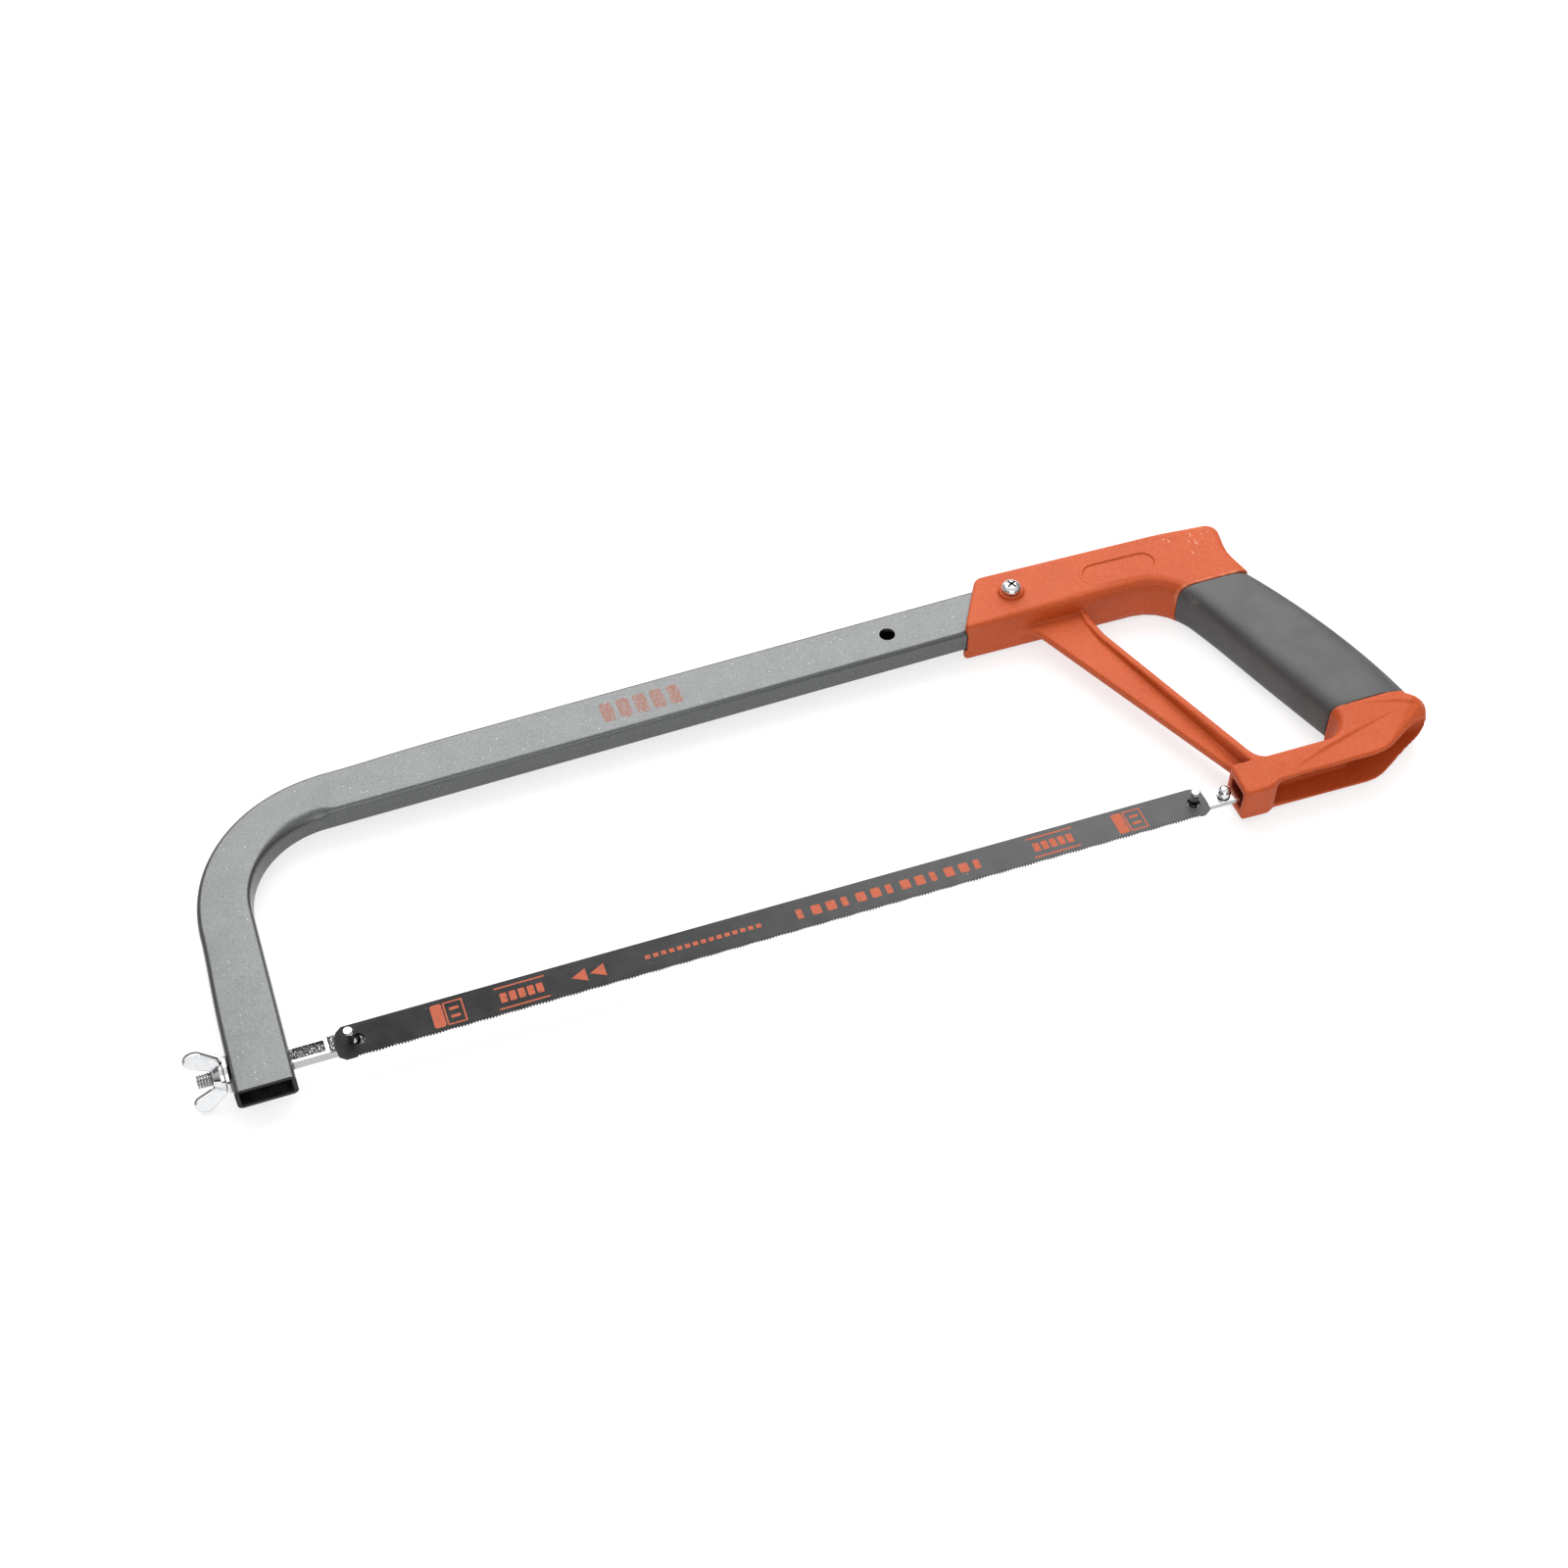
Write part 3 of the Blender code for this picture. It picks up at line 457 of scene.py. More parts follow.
def lathe(profile, sides=48, along="Z", centre=(0, 0, 0)):
    """Turns (radius, height) steps about an axis and closes both ends."""
    shape = bmesh.new()
    rings = []
    for radius, height in profile:
        rings.append(
            [
                (radius * math.cos(math.tau * k / sides), radius * math.sin(math.tau * k / sides), height)
                for k in range(sides)
            ]
        )
    made = skin(shape, rings)
    shape.faces.new(made[0][::-1])
    shape.faces.new(made[-1])
    tidy_normals(shape)
    if along == "X":
        lying = Matrix.Rotation(-math.pi / 2, 3, "Y")
        bmesh.ops.rotate(shape, cent=(0, 0, 0), matrix=lying, verts=shape.verts)
    bmesh.ops.translate(shape, vec=centre, verts=shape.verts)
    return shape


def cut(item, *cutters):
    """Boolean cuts, in world metres."""
    for cutter in cutters:
        modifier = item.modifiers.new("cut", "BOOLEAN")
        modifier.operation = "DIFFERENCE"
        modifier.object = cutter
    bpy.context.view_layer.update()
    graph = bpy.context.evaluated_depsgraph_get()
    mesh = bpy.data.meshes.new_from_object(item.evaluated_get(graph))
    item.modifiers.clear()
    item.data = mesh
    for cutter in cutters:
        bpy.data.objects.remove(cutter, do_unlink=True)


def cutter_of(shape):
    item = bpy.data.objects.new("cutter", world_mesh("cutter", shape))
    bpy.context.scene.collection.objects.link(item)
    return item


def bell(value, middle, spread):
    return math.exp(-(((value - middle) / spread) ** 2))


def step_up(value, low, high):
    """0 below low, 1 above high, and a smooth step between."""
    amount = min(1.0, max(0.0, (value - low) / (high - low)))
    return amount * amount * (3 - 2 * amount)


# ------------------------------------------------------------------ tube

TUBE_WIDTH = 20.0
TUBE_THICK = 10.0
TUBE_WALL = 1.4
SPINE_Y = 113.95
SPINE_RISE = math.radians(1.31)
SPINE_END = 285.0
BEND_OUTER = 58.0
BEND_INNER = 32.4
BEND_SAG = 1.1
SAG_SPREAD = 24.0
PINCH_END = (7.5, 15.0)  # where the pinched inner edge straightens out again, along the spine
ADJUST_HOLES = (226.7, 276.7)  # along the spine: the free hole and the screw's
ADJUST_RADIUS = 3.0
BAR_SLOT = (8.0, 7.0, 4.6)
STUD_HOLE_RADIUS = 2.7


def spine_point(along, across):
    """A point along the spine from above the front pin, and across from its outer face."""
    run = Vector((math.cos(SPINE_RISE), math.sin(SPINE_RISE)))
    return Vector((0.0, SPINE_Y)) + run * along + Vector((-run.y, run.x)) * across


def tube_path(leg_outer_x, leg_end_y, spine_end):
    """(outer, inner, run) stations; run is the length along the tube from the bend's start."""
    leg_inner_x = leg_outer_x + TUBE_WIDTH
    centres = []
    drop = TUBE_WIDTH / math.cos(SPINE_RISE)
    for radius, leg_x, spine_y in (
        (BEND_OUTER, leg_outer_x, SPINE_Y),
        (BEND_INNER, leg_inner_x, SPINE_Y - drop),
    ):
        x = leg_x + radius
        centres.append(Vector((x, spine_y + x * math.tan(SPINE_RISE) - radius / math.cos(SPINE_RISE))))
    turn = math.pi / 2 - SPINE_RISE
    length = BEND_OUTER * turn
    path = []
    leg_run = centres[0].y - leg_end_y
    for step in range(26):
        y = leg_end_y + leg_run * step / 26
        path.append((Vector((leg_outer_x, y)), Vector((leg_inner_x, y)), y - centres[0].y))
    for step in range(61):
        angle = turn * step / 60
        arm = Vector((-math.cos(angle), math.sin(angle)))
        path.append((centres[0] + arm * BEND_OUTER, centres[1] + arm * BEND_INNER, angle * BEND_OUTER))
    start = centres[0].x
    bend_outer, bend_inner, _ = path[-1]
    for step in range(1, 7):
        part = step / 7
        ahead = (spine_point(start, 0), spine_point(start, -TUBE_WIDTH))
        path.append((bend_outer.lerp(ahead[0], part), bend_inner.lerp(ahead[1], part), length))
    for step in range(61):
        along = start + (spine_end - start) * (step / 60) ** 1.5
        path.append((spine_point(along, 0), spine_point(along, -TUBE_WIDTH), length + along - start))
    return path, length


def tube_section(outer, inner, run, length, inset):
    """Rounded section; the bend sinks the outer wall, thins the tube and pinches its upper inner edge."""
    across = (outer - inner).normalized()
    sag = bell(run, 0, SAG_SPREAD) + bell(run, length, SAG_SPREAD)
    outer = outer - across * BEND_SAG * sag
    width = (outer - inner).length
    middle = (outer + inner) / 2
    pinch = step_up(run, 0.25 * length, 0.8 * length) * (1 - step_up(inner.x, *PINCH_END))
    corner = max(0.5, 2.0 - inset)
    soft = corner + 2.5 * pinch
    half_width = width / 2 - inset
    half_thick = TUBE_THICK / 2 - inset
    sizes = ((1, 1, corner), (-1, 1, soft), (-1, -1, corner), (1, -1, corner))
    ring = []
    for point in rounded([(s * half_width, t * half_thick, r) for s, t, r in sizes], 8):
        flat = middle + across * point.x
        depth = point.y
        inner_side = step_up(-point.x, -half_width * 0.2, half_width)
        if depth > 0:
            depth *= 1 - 0.09 * pinch * inner_side
        thinned = bell(run, length * 0.5, length * 0.4) * 0.02 * (1 - abs(point.x) / half_width)
        depth *= 1 - thinned
        ring.append(Vector((flat.x, flat.y, depth)))
    return ring


def make_tube():
    low, _ = saw_box("frame_tube")
    path, length = tube_path(low.x, low.y, SPINE_END)
    shape = bmesh.new()
    outside = [tube_section(*station, length, 0.0) for station in path]
    inside = [tube_section(*station, length, TUBE_WALL) for station in path]
    outer = skin(shape, outside)
    # the inner skin and the sawn rims take the near-black steel, which is partly painted shade
    inner = skin(shape, inside[::-1], material=1)
    # flat sawn rims join the two skins
    for far, near in ((outer[0], inner[-1]), (outer[-1], inner[0])):
        for index in range(len(far)):
            after = (index + 1) % len(far)
            rim = shape.faces.new((far[index], far[after], near[after], near[index]))
            rim.material_index = 1
    tidy_normals(shape)
    tube = piece("frame_tube_skin", shape, "frame", (GREY, INSIDE), ("frame_tube",))
    cutters = []
    for along in ADJUST_HOLES:
        place = spine_point(along, -TUBE_WIDTH / 2)
        through = [(ADJUST_RADIUS, -9), (ADJUST_RADIUS, 9)]
        cutters.append(cutter_of(lathe(through, 40, centre=(place.x, place.y, 0))))
    bar_low, bar_high = saw_box("draw_bar")
    slot = bmesh.new()
    bmesh.ops.create_cube(slot, size=1.0)
    middle_y = (bar_low.y + bar_high.y) / 2
    bmesh.ops.scale(slot, vec=BAR_SLOT, verts=slot.verts)
    bmesh.ops.translate(slot, vec=(low.x + TUBE_WIDTH, middle_y, 0), verts=slot.verts)
    cutters.append(cutter_of(slot))
    washer_low, washer_high = saw_box("tension_washer")
    stud_y = (washer_low.y + washer_high.y) / 2
    stud_hole = [(STUD_HOLE_RADIUS, -5), (STUD_HOLE_RADIUS, 5)]
    cutters.append(cutter_of(lathe(stud_hole, 32, "X", (low.x, stud_y, 0))))
    cut(tube, *cutters)
    tube.data.set_sharp_from_angle(angle=math.radians(38))


# ------------------------------------------------------------------ handle


TAPER_END, TAPER_LENGTH = 317.0, 63.0  # the top bar grows thicker from the tube's mouth to here
TAPER_RISE = 1.3


def sink_panel(mesh):
    """Gives the shallow stadium panel on each face of the top bar crisp walls."""
    left, right = Vector((310.4, 108.2)), Vector((329.8, 107.8))
    radius, depth, surface = 4.6, 0.55, HANDLE_HALF
    shape = bmesh.new()
    shape.from_mesh(mesh)

    def spread(point):
        """Distance outside the panel's edge of a point in world metres, and its height."""
        place = (point - ORIGIN) / MM
        flat = place.xy
        along = max(0.0, min(1.0, (flat - left).dot(right - left) / (right - left).length_squared))
        return (flat - left.lerp(right, along)).length - radius, place

    edges = []
    for edge in shape.edges:
        gap, place = spread((edge.verts[0].co + edge.verts[1].co) / 2)
        if abs(gap) < 1.6 and abs(place.z) > surface - 1.5:
            edges.append(edge)
    bmesh.ops.subdivide_edges(shape, edges=edges, cuts=2, use_grid_fill=True)
    for vert in shape.verts:
        gap, place = spread(vert.co)
        if gap < 1.6 and abs(place.z) > surface - 1.5:
            level = surface - TAPER_RISE * max(0.0, (TAPER_END - place.x) / TAPER_LENGTH)
            level -= depth * (1 - step_up(gap, -0.2, 0.25))
            vert.co.z = ORIGIN.z + math.copysign(level, place.z) * MM
    shape.to_mesh(mesh)
    shape.free()


def even_faces(mesh):
    """Evens out the broad faces of the lower bar and heel, like a stretched membrane."""
    points = points_of(mesh)
    normals = np.empty(len(points) * 3)
    mesh.vertices.foreach_get("normal", normals)
    level = np.abs(normals.reshape(-1, 3)[:, 2]) > 0.97
    x, y, z = points.T
    free = level & (np.abs(z) > 6.5) & (y < 32) & (x > 321)
    ends = np.empty(len(mesh.edges) * 2, dtype=np.int64)
    mesh.edges.foreach_get("vertices", ends)
    ends = ends.reshape(-1, 2)
    ends = ends[free[ends].any(axis=1)]
    used, ends = np.unique(ends, return_inverse=True)
    first, second = ends.reshape(-1, 2).T
    loose = free[used]
    height = z[used]
    count = np.bincount(first, minlength=len(used)) + np.bincount(second, minlength=len(used))
    for _ in range(1500):
        total = np.bincount(first, height[second], len(used))
        total += np.bincount(second, height[first], len(used))
        height[loose] = (total / count)[loose]
    points[used, 2] = height
    store_points(mesh, points)


def make_casting():
    fine = 0.45
    mesh = remeshed("handle_casting", fine)
    relax(mesh, 6)
    even_faces(mesh)
    sink_panel(mesh)
    skin_of = ("handle_casting",)
    place_mesh("handle_casting_skin", mesh, "frame", (ORANGE,), skin_of, 0)


GRIP_BOTTOM, GRIP_TOP = 18.0, 91.0
GRIP_FRONT = (363.1, 338.2)  # at the bottom and at the top
GRIP_BACK = (396.4, 366.3)
GRIP_BULGE = 3.0


def grip_ring(y, inset, sides=96):
    """Section of the grip at one height: square in front, rounder behind, and full in the palm."""
    amount = (y - GRIP_BOTTOM) / (GRIP_TOP - GRIP_BOTTOM)
    clamped = min(1.0, max(0.0, amount))
    flare = 1.6 * max(0.0, (y - 84) / 7) ** 2
    front = GRIP_FRONT[0] + (GRIP_FRONT[1] - GRIP_FRONT[0]) * clamped - flare + inset
    front += 0.5 * bell(y, 72, 16)
    bulge = GRIP_BULGE * 4 * amount * (1 - amount)
    back = GRIP_BACK[0] + (GRIP_BACK[1] - GRIP_BACK[0]) * clamped - inset + bulge
    half = HANDLE_HALF - inset
    front_power = 2 / (3.4 + 1.1 * clamped)
    back_power = 2 / (2.4 + 2.6 * clamped)
    ring = []
    for side in range(sides):
        angle = math.tau * side / sides
        power = back_power if math.cos(angle) > 0 else front_power
        wide = math.copysign(abs(math.cos(angle)) ** power, math.cos(angle))
        high = math.copysign(abs(math.sin(angle)) ** power, math.sin(angle))
        ring.append(Vector(((front + back) / 2 + (back - front) / 2 * wide, y, half * high)))
    return ring


def make_sleeve():
    low, high = saw_box("grip_sleeve")
    shape = bmesh.new()
    steps = 72
    rings = []
    lip = 0.45
    wall = 2.6
    for step in range(steps + 1):
        y = low.y + (high.y - low.y) * step / steps
        rings.append(grip_ring(y, 0.0))
    rings[0] = grip_ring(low.y, lip)
    rings.insert(1, grip_ring(low.y + lip * 0.3, lip * 0.3))
    rings[-1] = grip_ring(high.y, lip)
    rings.insert(-1, grip_ring(high.y - lip * 0.3, lip * 0.3))
    rings += [grip_ring(high.y - (high.y - low.y) * step / 8, wall) for step in range(9)]
    skin(shape, rings, closed=True)
    tidy_normals(shape)
    skin_of = ("grip_sleeve",)
    sleeve = piece("grip_sleeve_skin", shape, "frame", (RUBBER,), skin_of, sharp=50)
    pinhole = lathe([(0.25, -1.2), (0.5, 0.2), (0.9, 1.5)], 16)
    tilt = Matrix.Rotation(math.radians(-45), 3, "Y")
    bmesh.ops.rotate(pinhole, cent=(0, 0, 0), matrix=tilt, verts=pinhole.verts)
    bmesh.ops.translate(pinhole, vec=(350.4, 57.5, 9.2), verts=pinhole.verts)
    cut(sleeve, cutter_of(pinhole))


# ------------------------------------------------------------------ hardware


def make_fine(node, body, voxel_mm, passes, shape_it=None):
    """Replaces a small CAD node by a fine, softly rounded copy, plated all over."""
    mesh = remeshed(node, voxel_mm)
    relax(mesh, passes)
    if shape_it:
        store_points(mesh, shape_it(points_of(mesh)))
    return place_mesh(node + "_skin", mesh, body, (ZINC,), (node,), 0)


THREAD_PITCH = 0.9
THREAD_START = -41.5  # along the blade's line, where the draw bar turns into its stud
BAR_Y = 1.2  # the draw bar's middle
BAR_RECESS = (-24.0, -10.4)  # ends of the forged recess in its upper face
WING_TILT = math.radians(63.5)
# the normal of the wings' flat faces
WING_FACE = Vector((0, -math.sin(WING_TILT), math.cos(WING_TILT)))


def threaded(points):
    """Cuts a helical thread into the stud's end of the draw bar."""
    low, _ = saw_box("draw_bar")
    washer_low, washer_high = saw_box("tension_washer")
    axis_y = (washer_low.y + washer_high.y) / 2
    across = points[:, 1] - axis_y
    radius = np.hypot(across, points[:, 2])
    angle = np.arctan2(points[:, 2], across)
    phase = (points[:, 0] / THREAD_PITCH + angle / math.tau) % 1.0
    ridge = 1 - 2 * np.abs(phase - 0.5)
    there = np.clip((THREAD_START - points[:, 0]) / 0.6, 0, 1)
    there *= np.clip((points[:, 0] - low.x - 0.15) / 0.5, 0, 1)
    round_part = np.clip((radius - 1.7) / 0.4, 0, 1)
    change = there * round_part * (0.12 - 0.55 * (1 - ridge))
    scale = 1 + change / np.maximum(radius, 0.5)
    points[:, 1] = axis_y + across * scale
    points[:, 2] *= scale
    return points


def shade_edges(item, side=True):
    """Darker copies of the plating on the rounded edges of a piece, and on its sides: painted shade and
    dark reflection.
    """
    item.data.materials.append(RIM_SHADE)
    item.data.materials.append(SIDE_SHADE)
    for polygon in item.data.polygons:
        rise = abs(polygon.normal.z)
        # slanted faces get the darker copy, upright sides the lighter one; both are painted shade and dark
        # reflection
        if 0.35 < rise < 0.93:
            polygon.material_index = 1
        elif side and rise <= 0.35:
            polygon.material_index = 2


def make_draw_bar():
    bar = make_fine("draw_bar", "tensioner", 0.11, 2, shape_it=threaded)
    shade_edges(bar)
    bar.data.materials.append(FORGED)
    points = points_of(bar.data)
    for polygon in bar.data.polygons:
        x, y, z = points[list(polygon.vertices)].mean(axis=0)
        in_recess = BAR_RECESS[0] < x < BAR_RECESS[1] and abs(y - BAR_Y) < 2.2 and 0.6 < z
        on_end = x > -9 and z > 1.6 and abs(y - BAR_Y) < 3.3
        if in_recess or on_end:
            polygon.material_index = 3
        elif x < -41:
            polygon.material_index = 0


PIN_RADIUS = 1.55
PIN_LEAN = 0.36  # sideways for each millimetre above the blade's top


def make_pins():
    """Blade pins with low, rounded heads."""
    blade_top = saw_box("saw_blade")[1].z
    for node, body in (("front_blade_pin", "tensioner"), ("rear_blade_pin", "frame")):
        low, high = saw_box(node)
        middle = (low + high) / 2
        head = (high.x - low.x) / 2
        top = high.z
        profile = [(PIN_RADIUS - 0.1, low.z), (PIN_RADIUS, low.z + 0.1), (PIN_RADIUS, top - 1.4)]
        profile += [(head - 0.12, top - 1.0), (head, top - 0.85), (head, top - 0.4)]
        for step in range(1, 7):
            angle = math.pi / 2 * step / 7
            radius = head - 0.35 * (1 - math.cos(angle)) - 0.35 * step / 7
            profile.append((radius, top - 0.4 + 0.4 * math.sin(angle)))
        shape = lathe(profile, 48, centre=(middle.x, middle.y, 0))
        if body == "tensioner":
            # long use has bent the front pin forwards: the shank slants from its foot, the head leans most
            for vert in shape.verts:
                vert.co.x -= PIN_LEAN * max(0.0, vert.co.z - blade_top)
        pin = piece(node + "_skin", shape, body, (ZINC,), (node,))
        shade_edges(pin, side=False)


def make_screw():
    """Pan-head screw with a cross recess."""
    low, high = saw_box("handle_screw")
    middle = (low + high) / 2
    head = (high.x - low.x) / 2
    shank = 2.0
    base = high.z - 3.0
    profile = [(shank - 0.4, low.z), (shank, low.z + 0.4), (shank, base)]
    profile += [(head - 0.2, base), (head, base + 0.2), (head, base + 0.8)]
    for step in range(1, 13):
        angle = math.pi / 2 * step / 13
        profile.append((head * math.cos(angle), base + 0.8 + 2.15 * math.sin(angle)))
    shape = lathe(profile, 72, centre=(middle.x, middle.y, 0))
    skin_of = ("handle_screw",)
    screw = piece("handle_screw_skin", shape, "frame", (ZINC,), skin_of, sharp=30)
    for turn in (0.5, 0.5 + math.pi / 2):
        arm = bmesh.new()
        top = [(-2.2, -0.5), (2.2, -0.5), (2.2, 0.5), (-2.2, 0.5)]
        levels = ((0.55, 1.7), (1.15, -0.6))
        rings = [[(x * grow, y * grow, high.z - drop) for x, y in top] for grow, drop in levels]
        made = skin(arm, rings)
        arm.faces.new(made[0][::-1])
        arm.faces.new(made[1])
        tidy_normals(arm)
        turned = Matrix.Rotation(turn, 3, "Z")
        bmesh.ops.rotate(arm, cent=(0, 0, 0), matrix=turned, verts=arm.verts)
        bmesh.ops.translate(arm, vec=(middle.x, middle.y, 0), verts=arm.verts)
        cut(screw, cutter_of(arm))
    screw.data.set_sharp_from_angle(angle=math.radians(30))


def make_wing_nut():
    """Wing nut whose wings' rims get a darker copy of the plating than their pressed faces, as painted
    shade and dark reflection.
    """
    nut = make_fine("wing_nut", "wing_nut", 0.14, 3)
    nut.data.materials.append(RIM_SHADE)
    low, high = saw_box("wing_nut")
    middle = (low + high) / 2
    points = points_of(nut.data)
    away = np.hypot(points[:, 1] - middle.y, points[:, 2] - middle.z)
    for polygon in nut.data.polygons:
        if away[list(polygon.vertices)].min() < 3.6:
            continue
        across = abs(polygon.normal.dot(WING_FACE))
        if across < 0.6:
            # the rims take the darker plating: painted shade and dark reflection
            polygon.material_index = 1


def make_hardware():
    make_draw_bar()
    make_pins()
    make_wing_nut()
    make_fine("tension_washer", "frame", 0.12, 2)
    make_screw()
    make_fine("handle_nut", "frame", 0.16, 2)
    shade_edges(make_fine("rear_holder_bar", "frame", 0.13, 2))
    make_fine("rear_stop_stud", "frame", 0.11, 3)
    make_fine("rear_retaining_pin", "frame", 0.14, 2)


# ------------------------------------------------------------------ blade

TEETH_PER_INCH = 24
WAVE_TEETH = 9
SET_HEIGHT = 0.22
TOOTHED_LENGTH = 302.0
HOLE_FROM_END = 7.8
HOLE_RADIUS = 2.3
BLADE_SAG = 0.4  # its holes are larger than the pins, so the blade hangs this much off their centres


def twist(x, y, z, middle_z):
    """Where a point of the flat blade lies: the tensioned blade is twisted a little along its length."""
    angle = math.radians(1.4 - 4.2 * x / HOLE_SPACING)
    return Vector(
        (x, y * math.cos(angle) - (z - middle_z) * math.sin(angle) - BLADE_SAG,
         middle_z + y * math.sin(angle) + (z - middle_z) * math.cos(angle))
    )


def slice_along(shape, low_x, high_x):
    """Cuts flat faces across every 3 mm, so that they can follow the blade's twist."""
    for step in range(math.ceil(low_x / 3), math.floor(high_x / 3) + 1):
        every = shape.verts[:] + shape.edges[:] + shape.faces[:]
        bmesh.ops.bisect_plane(shape, geom=every, plane_co=(step * 3 + 0.01, 0, 0), plane_no=(1, 0, 0))
    shape.normal_update()
    bmesh.ops.triangulate(shape, faces=[face for face in shape.faces if len(face.verts) > 4])


def make_blade():
    """Toothed strip with its wave set and two holes; returns its top and middle heights."""
    low, high = saw_box("saw_blade")
    half = high.y
    top, under = high.z, low.z
    middle_z = (top + under) / 2
    first = low.x + HOLE_FROM_END
    pitch = 25.4 / TEETH_PER_INCH
    start, count = -1.0, int(TOOTHED_LENGTH / pitch)
    root = -half + 1.7
    # everything above the toothed strip
    line = rounded(
        [
            (high.x - 0.5, root),
            (high.x, -2.0, 2.0),
            (high.x, half, 4.6),
            (low.x + 3.4, half, 0.6),
            (low.x + 1.2, half - 1.8, 1.5),
            (low.x, -0.4, 5.0),
            (low.x + 0.5, root),
        ]
    )
    base = [(start + k * pitch / 2, root) for k in range(2 * count + 1)]
    shape = bmesh.new()
    corner_front = (low.x + 2.7, -half)
    corner_rear = (high.x - 3.2, -half)

    def layer(z, side):
        def at(x, y, rise=0.0):
            return shape.verts.new((x, y, z + rise))

        base_verts = [at(x, y) for x, y in base]
        rim = [at(point.x, point.y) for point in line]
        tips = []
        for tooth in range(count):
            x = start + tooth * pitch
            rise = SET_HEIGHT * math.sin(math.tau * tooth / WAVE_TEETH)
            tips.append((at(x, -half, rise), at(x + pitch * 0.78, -half + 0.8, rise * 0.35)))
        last = at(start + count * pitch, -half)
        front, rear = at(*corner_front), at(*corner_rear)
        faces = [rim + base_verts]
        for tooth in range(count):
            tip, gullet = tips[tooth]
            following = tips[tooth + 1][0] if tooth + 1 < count else last
            a, b, c = base_verts[2 * tooth : 2 * tooth + 3]
            faces += [[a, tip, b], [tip, gullet, b], [gullet, c, b], [gullet, following, c]]
        faces.append([rim[-1], front, tips[0][0], base_verts[0]])
        faces.append([base_verts[-1], last, rear, rim[0]])
        edge = rim + [front]
        for pair in tips:
            edge += list(pair)
        edge += [last, rear]
        for face in faces:
            shape.faces.new(face if side > 0 else face[::-1])
        return edge

    upper = layer(top, 1)
    lower = layer(under, -1)
    for index in range(len(upper)):
        after = (index + 1) % len(upper)
        shape.faces.new((upper[index], lower[index], lower[after], upper[after]))
    shape.normal_update()
    slice_along(shape, low.x, high.x)
    for vert in shape.verts:
        vert.co = twist(*vert.co, middle_z)
    tidy_normals(shape)
    blade = piece("saw_blade_skin", shape, "blade", (BLADE,), ("saw_blade",), sharp=25)
    through = [(HOLE_RADIUS, under - 2), (HOLE_RADIUS, top + 2)]
    holes = [
        cutter_of(lathe(through, 48, centre=(first + along, -BLADE_SAG, 0)))
        for along in (0.0, HOLE_SPACING)
    ]
    cut(blade, *holes)
    return top, middle_z


# ------------------------------------------------------------------ prints


def print_patch(name, outlines, body, material, lift, bend_it):
    """Thin printed shapes, each an outline of (x, y) points, laid just above a surface."""
    shape = bmesh.new()
    for outline in outlines:
        rings = []
        for drop in (0.0, 0.012):
            rings.append([(x, y, lift - drop) for x, y in outline])
        made = skin(shape, rings)
        shape.faces.new(made[0])
        shape.faces.new(made[1][::-1])
    shape.normal_update()
    slice_along(shape, outlines[0][0][0] - 20, 300)
    for vert in shape.verts:
        vert.co = bend_it(*vert.co)
    tidy_normals(shape)
    piece(name, shape, body, (material,), sharp=30)


def block(x0, y0, x1, y1, radius=0.0):
    """Outline of a rectangle with rounded corners."""
    corners = [(x0, y0, radius), (x1, y0, radius), (x1, y1, radius), (x0, y1, radius)]
    return [tuple(point) for point in rounded(corners, 4)]


def hollow_block(x0, y0, x1, y1, line):
    """A rectangular frame, as four strips."""
    return [
        block(x0, y0, x1, y0 + line),
        block(x0, y1 - line, x1, y1),
        block(x0, y0 + line, x0 + line, y1 - line),
        block(x1 - line, y0 + line, x1, y1 - line),
    ]


def make_prints(blade_top, middle_z):
    def on_blade(x, y, z):
        return twist(x, y, z, middle_z)

    lift = 0.02
    shapes = []
    for x in (31.0, 276.0):
        # a plain box: a solid third, and an open frame with two bars
        shapes.append(block(x - 5.5, -4.6, x - 1.6, 4.6, 0.9))
        shapes += hollow_block(x - 1.2, -4.6, x + 5.5, 4.6, 0.55)
        shapes.append(block(x + 0.6, 1.0, x + 3.8, 2.1))
        shapes.append(block(x + 0.6, -2.1, x + 3.8, -1.0))
    for x in (56.0, 247.0):
        # bars above and below a row of plain blocks
        shapes.append(block(x - 8.6, 3.9, x + 8.6, 4.5))
        shapes.append(block(x - 8.6, -4.5, x + 8.6, -3.9))
        for k in range(5):
            shapes.append(block(x - 7.4 + k * 3.1, -1.9, x - 5.1 + k * 3.1, 1.9, 0.4))
    for x in (75.6, 82.0):
        # arrows that point the way the blade cuts
        shapes.append([(x - 2.6, 0.0), (x + 2.6, -2.6), (x + 2.6, 2.6)])
    for k in range(15):
        shapes.append(block(98.6 + k * 2.8, -0.8, 100.4 + k * 2.8, 0.8))
    for k in range(13):
        width = 3.4 if k % 3 else 2.2
        shapes.append(block(152.4 + k * 5.4, -2.0, 152.4 + k * 5.4 + width, 2.0, 0.5))
    print_patch("blade_print", shapes, "blade", BLADE_INK, blade_top + lift, on_blade)

    def on_tube(x, y, z):
        place = spine_point(x, y)
        return Vector((place.x, place.y, z))

    bars = [block(115.0 + k * 6.4, -14.6, 119.6 + k * 6.4, -5.6, 1.2) for k in range(5)]
    tube_top = TUBE_THICK / 2
    print_patch("tube_print", bars, "frame", TUBE_INK, tube_top + lift, on_tube)


# ------------------------------------------------------------------ stage


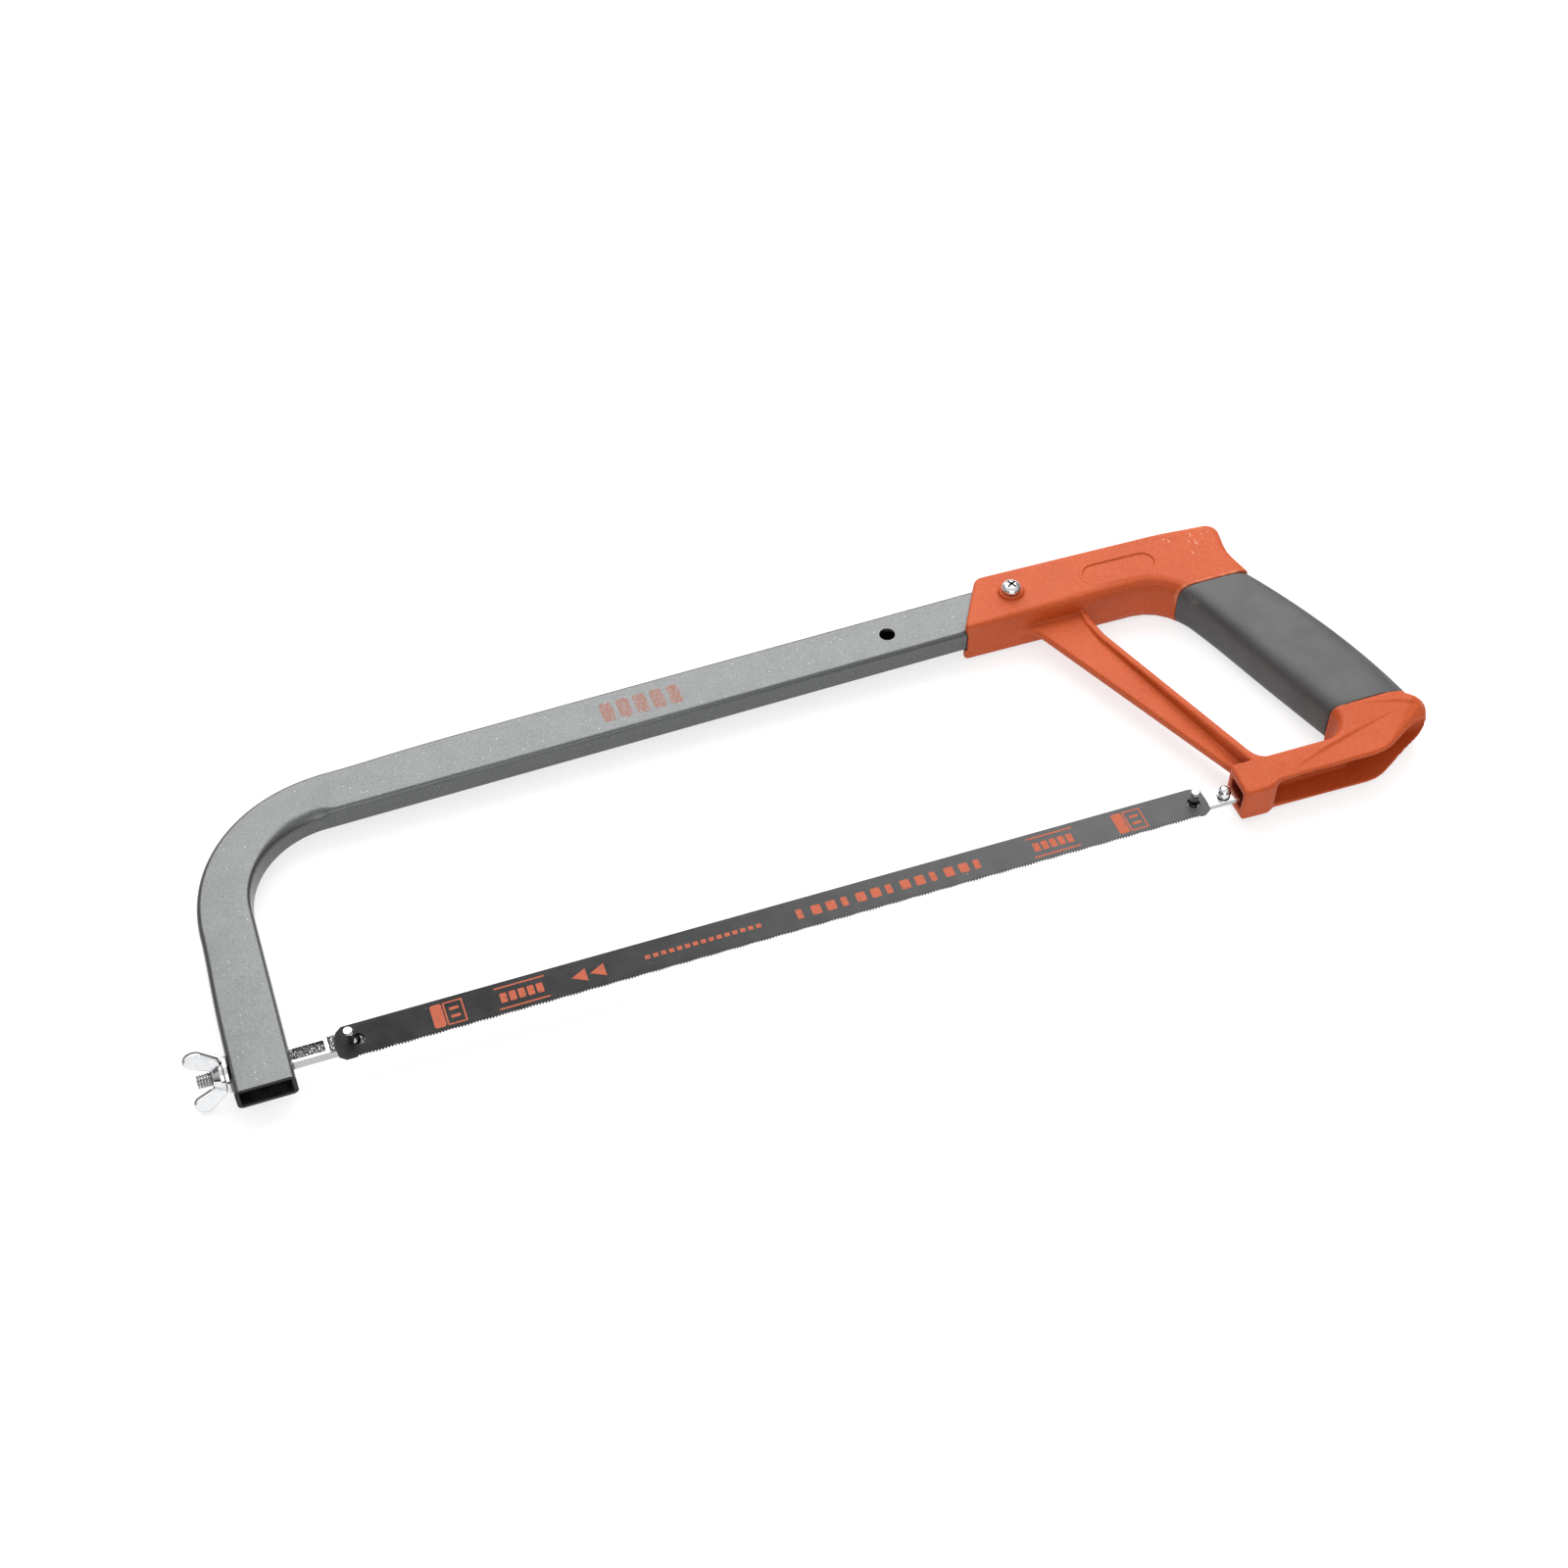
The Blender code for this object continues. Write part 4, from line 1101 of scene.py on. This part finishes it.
def make_stage():
    bpy.ops.mesh.primitive_plane_add(size=12, location=(0, 0, -0.0002))
    floor = bpy.context.object
    floor.name = "floor"
    n = Nodes("floor_white")
    cloud = n.ramp(n.noise(400, 2), 0.3, 0.7)
    n.link(n.mix(cloud, (0.35, 0.35, 0.35), (0.37, 0.37, 0.37)), "Base Color")
    # a light table: it glows, so that hardly any shadow shows
    n.set(roughness=0.9, specular=0.1, emission_color=(1, 1, 1, 1), emission_strength=0.7)
    floor.data.materials.append(n.material)

    world = bpy.data.worlds.new("studio")
    world.use_nodes = True
    tree = world.node_tree
    place = tree.nodes.new("ShaderNodeTexCoord")
    split = tree.nodes.new("ShaderNodeSeparateXYZ")
    tree.links.new(place.outputs["Generated"], split.inputs[0])
    fade = tree.nodes.new("ShaderNodeMapRange")
    fade.inputs["From Min"].default_value = 0.1
    fade.inputs["From Max"].default_value = 0.9
    fade.inputs["To Min"].default_value = 0.08
    fade.inputs["To Max"].default_value = 1.6
    tree.links.new(split.outputs["Z"], fade.inputs["Value"])
    path = tree.nodes.new("ShaderNodeLightPath")
    seen = tree.nodes.new("ShaderNodeMix")
    seen.inputs["B"].default_value = 1.6
    tree.links.new(path.outputs["Is Camera Ray"], seen.inputs["Factor"])
    tree.links.new(fade.outputs["Result"], seen.inputs["A"])
    tree.links.new(seen.outputs["Result"], tree.nodes["Background"].inputs["Color"])
    tree.nodes["Background"].inputs["Strength"].default_value = 0.6
    bpy.context.scene.world = world

    lights = (
        ("back_softbox", (0.35, 1.2, 1.35), 2.2, 52),
        ("front_card", (-0.3, -1.6, 0.9), 1.5, 11),
    )
    for name, place, size, power in lights:
        data = bpy.data.lights.new(name, "AREA")
        data.size = size
        data.energy = power
        light = bpy.data.objects.new(name, data)
        light.location = place
        light.rotation_euler = Vector(place).to_track_quat("Z", "Y").to_euler()
        bpy.context.scene.collection.objects.link(light)


def make_camera():
    """The camera stands over the teeth side, 50 degrees up and 19 degrees round to the left."""
    azimuth, elevation = math.radians(-19.292), math.radians(50.475)
    level = Vector((math.sin(azimuth), -math.cos(azimuth), 0)) * math.cos(elevation)
    back = level + Vector((0, 0, math.sin(elevation)))
    right = Vector((math.cos(azimuth), math.sin(azimuth), 0))
    up = back.cross(right)
    data = bpy.data.cameras.new("camera")
    data.sensor_width = 36
    data.lens = 55.04
    data.clip_start = 0.01
    camera = bpy.data.objects.new("camera", data)
    bpy.context.scene.collection.objects.link(camera)
    place = Vector((-11.388, -455.257, 658.428)) * MM + ORIGIN
    matrix = Matrix((right, up, back)).transposed().to_4x4()
    matrix.translation = place
    camera.matrix_world = matrix
    bpy.context.scene.camera = camera


make_tube()
make_casting()
make_sleeve()
make_hardware()
make_prints(*make_blade())
make_stage()
make_camera()
bpy.context.scene.view_settings.view_transform = "Standard"
